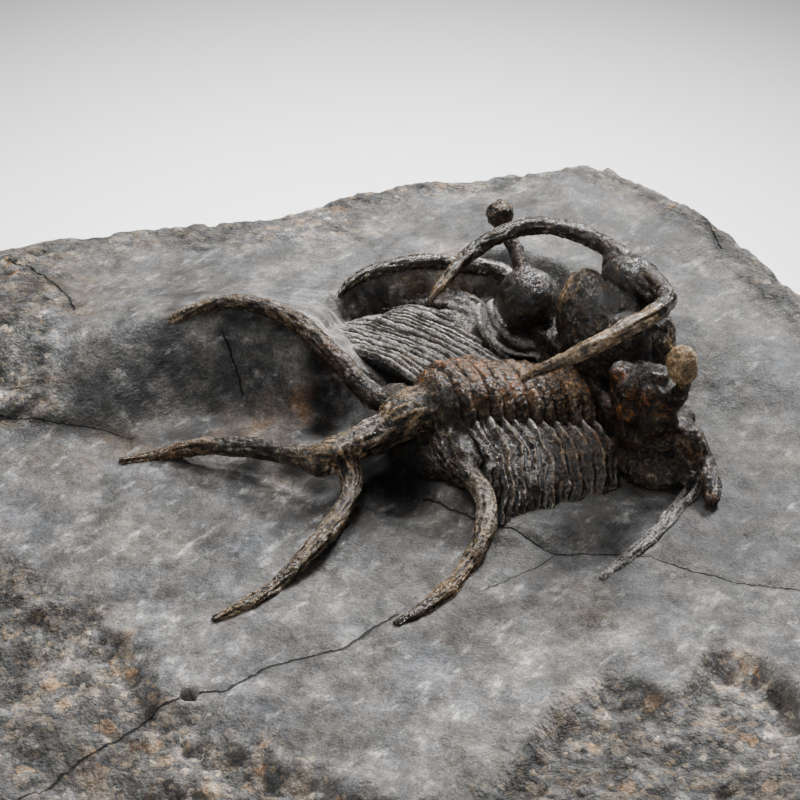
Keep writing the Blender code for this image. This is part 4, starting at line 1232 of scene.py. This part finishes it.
def fibres(points, paths):
    """Lengthwise ridges of the shell along its spines, -1 to 1, and 0 away from them."""
    total = np.zeros(len(points))
    for number, path in enumerate(paths):
        line = smooth_path(path, FIBRE_STEP)
        middle = line[:, :3]
        inside = (points > middle.min(axis=0) - 2.6) & (points < middle.max(axis=0) + 2.6)
        inside = np.nonzero(np.all(inside, axis=1))[0]
        near = points[inside]
        best = np.full(len(near), 1e9)
        index = np.zeros(len(near), dtype=int)
        for step, place in enumerate(middle):
            gap = ((near - place) ** 2).sum(axis=1)
            closer = gap < best
            best = np.where(closer, gap, best)
            index = np.where(closer, step, index)
        ahead = np.gradient(middle, axis=0)
        ahead /= np.linalg.norm(ahead, axis=1, keepdims=True)
        side = np.cross(ahead, (0.0, 0.0, 1.0))
        side /= np.maximum(np.linalg.norm(side, axis=1, keepdims=True), 0.2)
        top = np.cross(side, ahead)
        arm = near - middle[index]
        along = FIBRE_STEP * index + np.einsum("ij,ij->i", arm, ahead[index])
        turn = np.arctan2(np.einsum("ij,ij->i", arm, top[index]), np.einsum("ij,ij->i", arm, side[index]))
        spots = np.stack([1.5 * np.cos(turn) + 9.0 * number, 1.5 * np.sin(turn), 0.2 * along], axis=1)
        ridge = noise(spots, 0.62, 95, 2, ridged=True) - 0.15
        share = eased((1.5 * line[index, 3] + 0.5 - np.sqrt(best)) / 0.5)
        total[inside] = np.where(share > 0.0, share * ridge, total[inside])
    return total


def line_share(points, line, radius):
    """Share for each point, from 1 on a line to 0 at a radius from it."""
    gap = np.full(len(points), 1e9)
    for place in smooth_path([(*place[:3], 0.0) for place in line], 0.4)[:, :3]:
        gap = np.minimum(gap, np.linalg.norm(points - place, axis=1))
    return eased(1.5 * (1.0 - gap / radius))


def rim_line(away, drop):
    """Line that follows the far eye's rim, so far out from it and so far below it."""
    rim = np.array(EYE_RIM)
    out = rim - np.array(EYE)
    out[:, 2] = 0.0
    out /= np.linalg.norm(out, axis=1, keepdims=True)
    return rim + away * out - drop * np.array([0.0, 0.0, 1.0])


def lumps(table):
    """Balls from a table of centres, radii and fineness."""
    return [ball(*lump) for lump in table.values()]


def far_cheek():
    """Rims, collar and stalk of the far eye, and the folds of the cheek beside it."""
    parts = []
    ends = np.sin(np.linspace(0.12, math.pi - 0.12, len(EYE_RIM))) ** 0.7
    for away, drop, radius in (INNER_RIM, OUTER_RIM, COLLAR):
        points = [(*place, radius * end) for place, end in zip(rim_line(away, drop), ends)]
        parts.append(spine(points, 3.0, 0.06, 0.1, radius))
    for number, fold in enumerate(FAR_FOLDS):
        points = [(*place, 0.5 if 0 < index < len(fold) - 1 else 0.25) for index, place in enumerate(fold)]
        parts.append(spine(points, 3.0, 0.1, 0.14, 40.0 + number))
    return parts + lumps(FAR_LUMPS) + [spine(LEFT_STALK, 5.0, 0.08, 0.14, 4.0)]


def near_cheek():
    """Crushed bulla, fragments, ridges and stalk of the near cheek."""
    parts = [granulated(*BULLA, 2.2, (0.08, 0.22), 12)] + lumps(NEAR_LUMPS)
    parts.append(spine(RIGHT_STALK, 5.0, 0.1, 0.16, 2.0))
    parts += [ball(centre, radii, 4) for centre, radii in FRAGMENTS]
    for number, fold in enumerate(NEAR_FOLDS):
        points = [(*place, 0.55 if index else 0.35) for index, place in enumerate(fold)]
        parts.append(spine(points, 3.0, 0.1, 0.16, 50.0 + number))
    return parts


def head_shield():
    """Vaulted shield under the head, cut off at its back and at its foot."""
    mesh = ball(*SHIELD)
    points = points_of(mesh)
    points[:, 2] += ROLL * points[:, 1]
    points[:, 0] = np.maximum(points[:, 0], SHIELD_BACK)
    points[:, 2] = np.maximum(points[:, 2], SHIELD_FOOT)
    set_points(mesh, points)
    return mesh


def cephalon_mesh():
    """Head shield with its glabella, stalked eyes, horns and cheek spines, grown as one."""
    right_horn = mirrored(HORN)
    trace = lying(RIGHT_CHEEK_TRACE, TRACE_SUNK)
    parts = [head_shield(), granulated(*GLABELLA, 2.4, (0.1, 0.28), 4)] + lumps(MIDDLE_LUMPS)
    parts += far_cheek() + near_cheek()
    parts += [
        granulated(*KNOBS["left"], 7.0, (0.1, 0.26), 7, 4), spine(HORN, 6.0, 0.07, 0.12, 12.0, SMOOTHER),
        granulated(*KNOBS["right"], 7.0, (0.1, 0.26), 8, 4),
        spine(right_horn, 4.0, 0.13, 0.12, 10.0, SMOOTHER),
        spine(LEFT_CHEEK_SPINE, 5.0, 0.08, 0.12, 21.0, SMOOTHER),
        spine(RIGHT_CHEEK_SPINE, 5.0, 0.1, 0.16, 22.0),
        spine(trace, 4.0, 0.12, 0.18, 23.0),
    ]
    mesh = fused("cephalon", parts, HEAD_GRAIN)
    points = points_of(mesh)
    fibre = fibres(points, [HORN, right_horn, LEFT_CHEEK_SPINE, RIGHT_CHEEK_SPINE, trace, LOBE_LINE])
    calm = np.clip(patches(points, [(*EYE_SHINE, 1.6)]), 0.0, 1.0)
    calm = np.maximum(calm, 1.05 * line_share(points, EYE_RIM, 3.2))
    for line in (HORN, right_horn, LEFT_CHEEK_SPINE):
        calm = np.maximum(calm, 0.4 * line_share(points, line, 3.0))
    skin_relief(mesh, 51, 0.26, fibre, calm)
    keep_looks(mesh, fibre, HEAD_LOOKS)
    points = points_of(mesh)
    points[:, 2] = np.minimum(points[:, 2], HEAD_TOP_LIMIT)
    set_points(mesh, points)
    for line, shine in ((HORN, 0.45), (right_horn, 0.5), (LEFT_CHEEK_SPINE, 0.5)):
        raise_value(mesh, "gloss", shine * line_share(points, line, 2.6))
    rims = np.maximum(*[line_share(points, rim_line(*rim[:2]), 0.85) for rim in (INNER_RIM, OUTER_RIM)])
    gaps = np.maximum(*[line_share(points, rim_line(*gap), 0.8) for gap in RIM_GAPS])
    lying_line = line_share(points, [(f, left, stone_at(f, left)) for f, left, _ in RIGHT_CHEEK_TRACE], 2.2)
    raise_value(mesh, "pale", np.maximum(rims, 1.5 * lying_line))
    # Painted shade in the grooves between the eye's rims.
    raise_value(mesh, "painted_shade_in_hollows", gaps * (1.0 - rims))
    raise_value(mesh, "relief", 0.9 * rims - 1.0 * (rims < 0.05))
    raise_value(mesh, "gloss", 0.6 * rims)
    return mesh


def pygidium_mesh():
    """Tail shield with its forked stem and its two sickle spines, grown as one."""
    lines = {
        "stem": TAIL_STEM, "left fork": LEFT_FORK + lying(LEFT_FORK_LYING, LYING_SUNK),
        "right fork": RIGHT_FORK + lying(RIGHT_FORK_LYING, LYING_SUNK),
        "right sickle": RIGHT_SICKLE + lying(RIGHT_SICKLE_LYING, LYING_SUNK), "left sickle": LEFT_SICKLE,
    }
    shield = ball(*TAIL_SHIELD)
    points = points_of(shield)
    points[:, 0] = np.minimum(points[:, 0], TAIL_SHIELD_FRONT)
    set_points(shield, points)
    parts = [shield] + lumps(TAIL_LUMPS) + [spine(line, *TAIL_SKINS[name]) for name, line in lines.items()]
    parts += [spine(fold, 3.0, 0.1, 0.18, 60.0 + number) for number, fold in enumerate(FLANK_FOLDS)]
    mesh = fused("pygidium", parts, TAIL_GRAIN)
    fibre = fibres(points_of(mesh), lines.values())
    skin_relief(mesh, 61, 0.2, fibre)
    keep_looks(mesh, fibre, TAIL_LOOKS)
    # Painted shade in the cavity under the stem and the hollows beside it.
    raise_value(mesh, "painted_shade_in_hollows", patches(points_of(mesh), TAIL_PAINTED_SHADE))
    return mesh


def thorax_mesh(number):
    """One rib of the thorax, with the shell's own waves, fibres and wrinkles."""
    mesh = grown("rib", rib_guide(number), {
        "Seed": 3.7 * number, "Ring Height": 0.55 + 0.1 * math.sin(2.1 * number),
        "Crest Height": 0.6 + 0.12 * math.sin(1.7 * number + 1.0),
    })
    builder = bmesh.new()
    builder.from_mesh(mesh)
    bmesh.ops.remove_doubles(builder, verts=builder.verts, dist=0.002)
    bmesh.ops.recalc_face_normals(builder, faces=builder.faces)
    builder.to_mesh(mesh)
    builder.free()
    crest = read_value(mesh, "crest")
    points = points_of(mesh)
    across = points[:, 1]
    wave = np.stack([noise(points, 4.0, seed, 2) for seed in (71, 72, 73)], axis=1)
    shiver = np.stack([noise(points, 1.5, seed, 2) for seed in (74, 75, 76)], axis=1)
    bend = on_side(across, LEFT_SWEEP, RIGHT_SWEEP) * np.maximum(np.abs(across) - FLAT_TO, 0.0) ** 2
    drawn_out = np.stack([(points[:, 0] + bend) * 2.4, across * 0.5, points[:, 2] * 0.5], axis=1)
    fibre = noise(drawn_out, 1.1, 77, 2)
    crinkle = noise(points, 0.9, 78, 3, ridged=True)
    lift = (crest > 0.02) * (0.13 * fibre + np.where(across > 5.0, 0.06, 0.15) * (crinkle - 0.2))
    loose = np.interp(across, [-6.5, -4.5, 4.5, 8.0], [1.0, 0.4, 0.4, 0.5])[:, None]
    moved = points + loose * (wave * np.array([0.7, 0.3, 0.4]) + shiver * np.array([0.3, 0.15, 0.22]))
    set_points(mesh, moved + read(mesh.vertex_normals, "vector", 3) * lift[:, None])
    fold = relief_of(mesh, 5, 0.14)
    lobe = eased((AXIS_HALF_WIDTH + 1.0 - np.abs(across)) / 2.0)
    high = np.clip(crest / (0.3 + 0.14 * lobe) - 1.0, -1.0, 1.0)
    near_foot = eased((-AXIS_HALF_WIDTH - across) / 0.8) * eased((8.4 + across) / 2.6)
    far_pale = 1.35 * eased((across - 4.6) / 3.0)
    spots = {name: patches(points, places) for name, places in RIB_LOOKS.items()}
    for name, values in (
        ("relief", np.clip(0.65 * high + 0.5 * fold + 0.3 * fibre, -1.0, 1.0)),
        # Painted shade under and between the ribs.
        ("painted_shade_in_hollows", 0.8 * eased((0.06 - crest) / 0.06)), ("gloss", np.zeros(len(points))),
        ("tan", 0.65 * lobe + on_side(across, 0.25 + spots["far brown"], 0.45)),
        ("rust", spots["rust"] + 0.4 * lobe),
        ("pale", np.maximum(far_pale + 0.8 * near_foot, spots["pale tips"])),
    ):
        write_value(mesh, name, values)
    return mesh


def grain_group():
    """Cloudy and speckled grain: a cloud, and its height with specks for a bump."""
    tree, given = new_group("grain", "ShaderNodeTree", [
        ("Place", "Vector", None), ("Cloud Size", "Float", 1.0), ("Speck Size", "Float", 0.2),
        ("Speck Share", "Float", 0.5),
    ], [("Cloud", "Float"), ("Height", "Float")])
    clouds = cloud(given["Place"], 1.0 / given["Cloud Size"], 6.0, 0.6)
    specks = cloud(given["Place"], 1.0 / given["Speck Size"], 3.0, 0.7)
    height = put(tree, "ShaderNodeMix", {"Factor": given["Speck Share"], "A": clouds, "B": specks})
    put(tree, "NodeGroupOutput", {"Cloud": clouds, "Height": height})


def patch_group():
    """Soft-edged patches: the part of a noise that passes a level."""
    tree, given = new_group("patchy", "ShaderNodeTree", [
        ("Place", "Vector", None), ("Size", "Float", 1.0), ("Stretch", "Vector", (1.0, 1.0, 1.0)),
        ("Level", "Float", 0.6), ("Softness", "Float", 0.08),
    ], [("Mask", "Float")])
    stretched = vectors("MULTIPLY", given["Place"], given["Stretch"])
    over = cloud(stretched, 1.0 / given["Size"], 5.0, 0.62) - given["Level"]
    put(tree, "NodeGroupOutput", {"Mask": (over / given["Softness"]).held()})


def crack_group():
    """Thin crack where a signed distance passes through zero, wandering a little."""
    tree, given = new_group("crack", "ShaderNodeTree", [
        ("Place", "Vector", None), ("Distance", "Float", 1.0), ("Width", "Float", 0.08),
        ("Wander", "Float", 0.5),
    ], [("Line", "Float")])
    sway = (cloud(given["Place"], 1.1, 4.0, 0.6) - 0.5) * given["Wander"]
    gap = abs(given["Distance"] + sway) / given["Width"]
    put(tree, "NodeGroupOutput", {"Line": (1.6 - gap).held()})


def tone_group():
    """Brightness of a worn surface, even about one: noises of four sizes raised to a power of two."""
    tree, given = new_group("tone", "ShaderNodeTree", [
        ("Place", "Vector", None), ("Contrast", "Float", 2.5), ("Broad", "Float", 1.0),
        ("Fine", "Float", 1.0),
    ], [("Tone", "Float")])
    total = None
    noises = ((13.0, 0.8, "Broad"), (3.6, 1.0, "Broad"), (1.0, 1.0, "Fine"), (0.27, 1.25, "Fine"))
    for size, weight, share in noises:
        part = (cloud(given["Place"], 1.0 / size, 2.5, 0.6) - 0.5) * weight * given[share]
        total = total + part if total else part
    put(tree, "NodeGroupOutput", {"Tone": maths("POWER", 2.0, total * given["Contrast"])})


def packed_group():
    """Packed grains: a draw for each grain, and the height of its dome."""
    tree, given = new_group("packed_grains", "ShaderNodeTree", [
        ("Place", "Vector", None), ("Size", "Float", 1.0),
    ], [("Lot", "Float"), ("Dome", "Float")])
    sway = vectors("SUBTRACT", cloud(given["Place"], 1.1 / given["Size"], 3.0)["Color"], (0.5, 0.5, 0.5))
    place = vectors("ADD", given["Place"], scaled(sway, given["Size"]))
    cell = put(tree, "ShaderNodeTexVoronoi", {"Vector": place, "Scale": 1.0 / given["Size"], "Detail": 0.0})
    put(tree, "NodeGroupOutput", {
        "Lot": put(tree, "ShaderNodeSeparateColor", {"Color": cell["Color"]}),
        "Dome": (1.0 - cell["Distance"]).held(),
    })


def use(place, group, **values):
    """Place a node group at a place on the piece, with its values."""
    inputs = {"Place": place, **{name.replace("_", " "): value for name, value in values.items()}}
    return put(tree_of(place), "ShaderNodeGroup", inputs, node_tree=bpy.data.node_groups[group])


def patch_of(place, size, level, softness, stretch=(1.0, 1.0, 1.0)):
    """Mask of soft-edged patches of one size."""
    return use(place, "patchy", Size=size, Level=level, Softness=softness, Stretch=stretch)


def level_mask(value, start, stop):
    """Smooth step of a value between two levels."""
    inputs = {"Value": value, "From Min": start, "From Max": stop}
    return put(tree_of(value), "ShaderNodeMapRange", inputs, interpolation_type="SMOOTHSTEP")


def mixed(share, below, above, **settings):
    """Colour between two colours, which are wires or red, green and blue."""
    below, above = (colour if isinstance(colour, Wire) else (*colour, 1.0) for colour in (below, above))
    tree = tree_of(share, below)
    return put(tree, "ShaderNodeMix", {0: share, 6: below, 7: above}, data_type="RGBA", **settings)[2]


def layered(colour, layers):
    """Colour under further ones, each laid over it by its own share."""
    for share, above in layers:
        colour = mixed(share, colour, above)
    return colour


def dimmed(colour, light):
    """Colour times a brightness."""
    grey = put(tree_of(colour), "ShaderNodeCombineColor", {0: light, 1: light, 2: light})
    return mixed(1.0, colour, grey, blend_type="MULTIPLY")


def new_finish(name, attributes=()):
    """Material with its shader, the place on the piece in millimetres and the values kept on its vertices."""
    finish = bpy.data.materials.new(name)
    finish.use_nodes = True
    tree = finish.node_tree
    place = scaled(put(tree, "ShaderNodeTexCoord")["Object"], 1000.0)
    values = {label: put(tree, "ShaderNodeAttribute", attribute_name=label)["Fac"] for label in attributes}
    return finish, tree.nodes["Principled BSDF"], place, values


def dress_shader(shader, colour, dull, height, bump, **more):
    """Feed a shader its colour, its roughness and a bump so many millimetres high."""
    tree = shader.id_data
    normal = put(tree, "ShaderNodeBump", {"Strength": 1.0, "Distance": bump * MM, "Height": height})
    fill(tree, shader, {"Base Color": colour, "Roughness": dull, "Normal": normal})
    fill(tree, shader, {name.replace("_", " "): value for name, value in more.items()})


def stone_finish():
    """Grey limestone: worked smooth in the bowl, broken and stained round it, darker on the wall with painted
    shade there, and with painted light and painted shade laid over it.
    """
    finish, shader, place, values = new_finish("limestone", (
        "rough", "dark", "stain", "relief", "comb", "streak", "painted_light", "painted_shade",
        *("crack_" + name for name in CRACKS),
    ))
    rough, dark, relief, comb, painted_shade = (values[name] for name in ("rough", "dark", "relief", "comb", "painted_shade"))
    brushed = put(tree_of(place), "ShaderNodeVectorRotate", {
        "Vector": place, "Angle": BRUSH_ANGLE,
    }, rotation_type="Z_AXIS")
    coarse = use(place, "packed_grains", Size=1.5)
    small = use(place, "packed_grains", Size=0.6)
    stroke = patch_of(brushed, 2.4, 0.42, 0.22, (0.16, 1.0, 1.0))
    smudge = patch_of(brushed, 1.5, 0.58, 0.1, (0.45, 1.0, 1.0))
    sweep = patch_of(brushed, 5.5, 0.52, 0.12, (0.3, 1.0, 1.0))
    blotches = patch_of(place, 4.5, 0.45, 0.16)
    cool = patch_of(place, 8.0, 0.46, 0.2)
    brown = ((values["stain"] + 0.25) * blotches).held()
    crumb = (level_mask(small["Lot"], 0.90, 0.93) * (rough + 0.18)).held()
    worked = layered(mixed(cool, STONE["warm"], STONE["cool"]), (
        (stroke * 0.5, STONE["stroke"]), (sweep * 0.62, STONE["sweep"]), (brown * 0.8, STONE["stain"]),
        (smudge * 0.8, STONE["smudge"]), (crumb * 0.75, STONE["crumb"]),
        (level_mask(small["Lot"], 0.06, 0.03) * smudge * 0.8, STONE["dust"]),
    ))
    broken = layered(mixed(coarse["Lot"], STONE["broken"], STONE["broken, light"]), (
        (level_mask(coarse["Lot"], 0.72, 0.8), STONE["sandy"]),
        (level_mask(coarse["Lot"], 0.93, 0.95), STONE["peach"]),
        (level_mask(small["Lot"], 0.82, 0.88), STONE["buff"]),
        (level_mask(small["Lot"], 0.95, 0.97), STONE["white grain"]), (brown * 0.6, STONE["broken stain"]),
        (level_mask(coarse["Dome"], 0.55, 0.3) * 0.55, STONE["seam"]),
    ))
    wall = mixed(smudge * 0.95, mixed(blotches, STONE["wall"], STONE["wall, light"]), STONE["wall smudge"])
    colour = layered(worked, (
        # The wall's darker stone also carries painted shade; the stone's rises get a painted highlight.
        (rough * 0.88, broken), (dark * 0.95, wall), (maths("MAXIMUM", relief, 0.0) * 0.5, STONE["high"]),
        # Painted shade in the stone's hollows.
        (maths("MAXIMUM", relief * -1.0, 0.0) * 0.3, STONE["low"]),
        # Painted highlight on the comb's ridges and painted shade in its grooves.
        (maths("MAXIMUM", comb, 0.0), STONE["comb ridge"]),
        ((comb * -0.85).held(), STONE["comb groove"]),
        ((values["streak"] * (stroke + 0.1)).held() * 0.75, STONE["orange"]),
    ))
    colour = dimmed(colour, use(place, "tone", Contrast=3.9, Broad=1.25, Fine=0.72))
    # Painted light and painted shade laid over the stone's colour.
    colour = dimmed(dimmed(colour, values["painted_light"]), (1.0 - painted_shade * 0.93).held())
    line = None
    for name, (width, _, _) in CRACKS.items():
        one = use(place, "crack", Distance=values["crack_" + name], Width=width, Wander=CRACK_WANDER)
        line = maths("MAXIMUM", line, one) if line else one
    colour = mixed(line * 0.9, colour, STONE["crack"])
    dull = (rough * 0.15 + 0.58 - dark * 0.1 + painted_shade * 0.45).held()
    grain = use(place, "grain", Cloud_Size=2.2, Speck_Size=0.3, Speck_Share=0.3)
    grainy = coarse["Dome"] * 0.8 + small["Dome"] * 0.4
    height = grain["Height"] * (rough * 1.6 + 1.0) + grainy * (rough + 0.06) + stroke * 0.25 - line * 1.2
    dress_shader(shader, colour, dull, height, 0.36, Specular_IOR_Level=0.3)
    return finish


def shell_finish(name):
    """Glossy dark shell: black in its furrows, brown on its flanks, worn tan on its crests and darkened by
    painted shade in its hollows.
    """
    finish, shader, place, values = new_finish(name, ("relief", "painted_shade_in_hollows", "tan", "rust", "pale", "gloss"))
    relief, painted_shade_in_hollows, tan, rust, pale, gloss = values.values()
    dark, brown, (crest_from, crest_to), wear, dullness = SHELLS[name]
    grain = use(place, "grain", Cloud_Size=1.1, Speck_Size=0.2, Speck_Share=0.42)
    grains = use(place, "packed_grains", Size=0.42)
    noisy = relief + (grain["Height"] - 0.5) * 2.8
    crest = level_mask(noisy, crest_from, crest_to)
    furrow = level_mask(noisy, -0.05, -0.62)
    blotches = patch_of(place, 1.5, 0.46, 0.16)
    crumbs = patch_of(place, 0.55, 0.50, 0.1)
    worn = mixed((tan * 0.8).held(), SHELL["worn"], SHELL["worn tan"])
    rubbed = (crest * (tan * 0.55 + wear)).held()
    laid = (tan - 1.0).held() * (blotches + 0.5)
    colour = layered(mixed(blotches, dark, brown), (
        ((tan * crumbs * 0.7).held(), SHELL["earthy"]), (maths("MAXIMUM", rubbed, laid).held(), worn),
        (((tan - 1.6).held() * (crest + 0.35)).held(), SHELL["golden"]),
        ((pale * (crest * 0.85 + 0.18)).held(), SHELL["bleached"]),
        ((rust * (crumbs * 0.85 + 0.1) * 0.85).held(), SHELL["rusty"]),
        ((level_mask(grains["Lot"], 0.86, 0.92) * (crest + 0.12)).held() * 0.6, SHELL["fleck"]),
    ))
    colour = dimmed(colour, use(place, "tone", Contrast=2.6, Broad=0.7, Fine=1.5))
    colour = mixed(furrow * 0.92, colour, SHELL["furrow"])
    # Painted shade in the hollows.
    colour = dimmed(colour, (1.0 - painted_shade_in_hollows * 0.84).held())
    dull = (grain["Cloud"] * 0.34 + dullness + painted_shade_in_hollows * 0.4 - gloss * 0.16).held()
    height = (grain["Height"] + grains["Dome"] * 0.28) * (1.0 - gloss * 0.8).held()
    dress_shader(
        shader, colour, dull, height, 0.5, Coat_Weight=gloss * 0.4, Coat_Roughness=0.12,
        Specular_IOR_Level=0.5,
    )
    return finish


def placed(name, thing, place, target=None):
    """Object at a place, turned to a target where there is one, both in millimetres."""
    holder = bpy.data.objects.new(name, thing)
    holder.location = Vector(place) * MM
    if target:
        aim = Vector(target) * MM - holder.location
        holder.rotation_euler = aim.to_track_quat("-Z", "Y").to_euler()
    bpy.context.scene.collection.objects.link(holder)
    return holder


def light_panel(name, place, size, power):
    """Square soft light aimed at the animal."""
    lamp = bpy.data.lights.new(name, "AREA")
    lamp.shape = "SQUARE"
    lamp.size = size * MM
    lamp.energy = power
    placed(name, lamp, place, CAMERA_AIM)


def soft_spot(name, place, target, radius, power, opening, blend):
    """Round soft light whose beam has an opening angle and a soft edge."""
    lamp = bpy.data.lights.new(name, "SPOT")
    lamp.shadow_soft_size = radius * MM
    lamp.energy = power
    lamp.spot_size = math.radians(opening)
    lamp.spot_blend = blend
    placed(name, lamp, place, target)


def studio():
    """Camera, soft lights and the pale table."""
    eye = bpy.data.cameras.new("camera")
    eye.lens = LENS
    eye.clip_start = 0.01
    back = Vector((0.0, -math.cos(CAMERA_ABOVE), math.sin(CAMERA_ABOVE)))
    camera = placed("camera", eye, Vector(CAMERA_AIM) + CAMERA_DISTANCE * back)
    camera.rotation_euler = (math.pi / 2.0 - CAMERA_ABOVE, 0.0, 0.0)
    bpy.context.scene.camera = camera
    soft_spot("key_light", (190.0, 330.0, 330.0), (-16.0, 0.0, 30.0), 45.0, 18.5, 40.0, 0.8)
    soft_spot("table_light", (0.0, 165.0, 250.0), (0.0, 105.0, 0.0), 60.0, 9.8, 52.0, 1.0)
    light_panel("top_panel", (-60.0, 60.0, 380.0), 140.0, 0.5)
    light_panel("front_fill", (-60.0, -330.0, 260.0), 300.0, 0.45)
    world = bpy.data.worlds.new("room")
    world.use_nodes = True
    background = world.node_tree.nodes["Background"]
    fill(world.node_tree, background, {"Color": (*ROOM_COLOUR, 1.0), "Strength": ROOM_LIGHT})
    bpy.context.scene.world = world
    table = built_mesh("table", lambda builder: bmesh.ops.create_grid(
        builder, x_segments=1, y_segments=1, size=2.0,
    ))
    finish, shader, _, _ = new_finish("table_top")
    fill(finish.node_tree, shader, {"Base Color": (*TABLE_COLOUR, 1.0), "Roughness": 0.8})
    table.materials.append(finish)
    floor = placed("table", table, (0.0, 0.0, 0.0))


def dress():
    """Make every piece and its finish."""
    for make in (
        grain_group, patch_group, crack_group, tone_group, packed_group, spine_tree, rib_tree, granule_tree,
    ):
        make()
    back_shell = shell_finish("back_shell")
    finished("limestone_block", block_mesh(), "matrix", stone_finish(), on_animal=False)
    finished("head_shield", cephalon_mesh(), "cephalon", shell_finish("head_shell"))
    for number in range(SEGMENTS):
        label = f"{number + 1:02d}"
        finished("rib_" + label, thorax_mesh(number), "thorax_segment_" + label, back_shell)
    finished("tail_shield", pygidium_mesh(), "pygidium", shell_finish("tail_shell"))


dress()
studio()
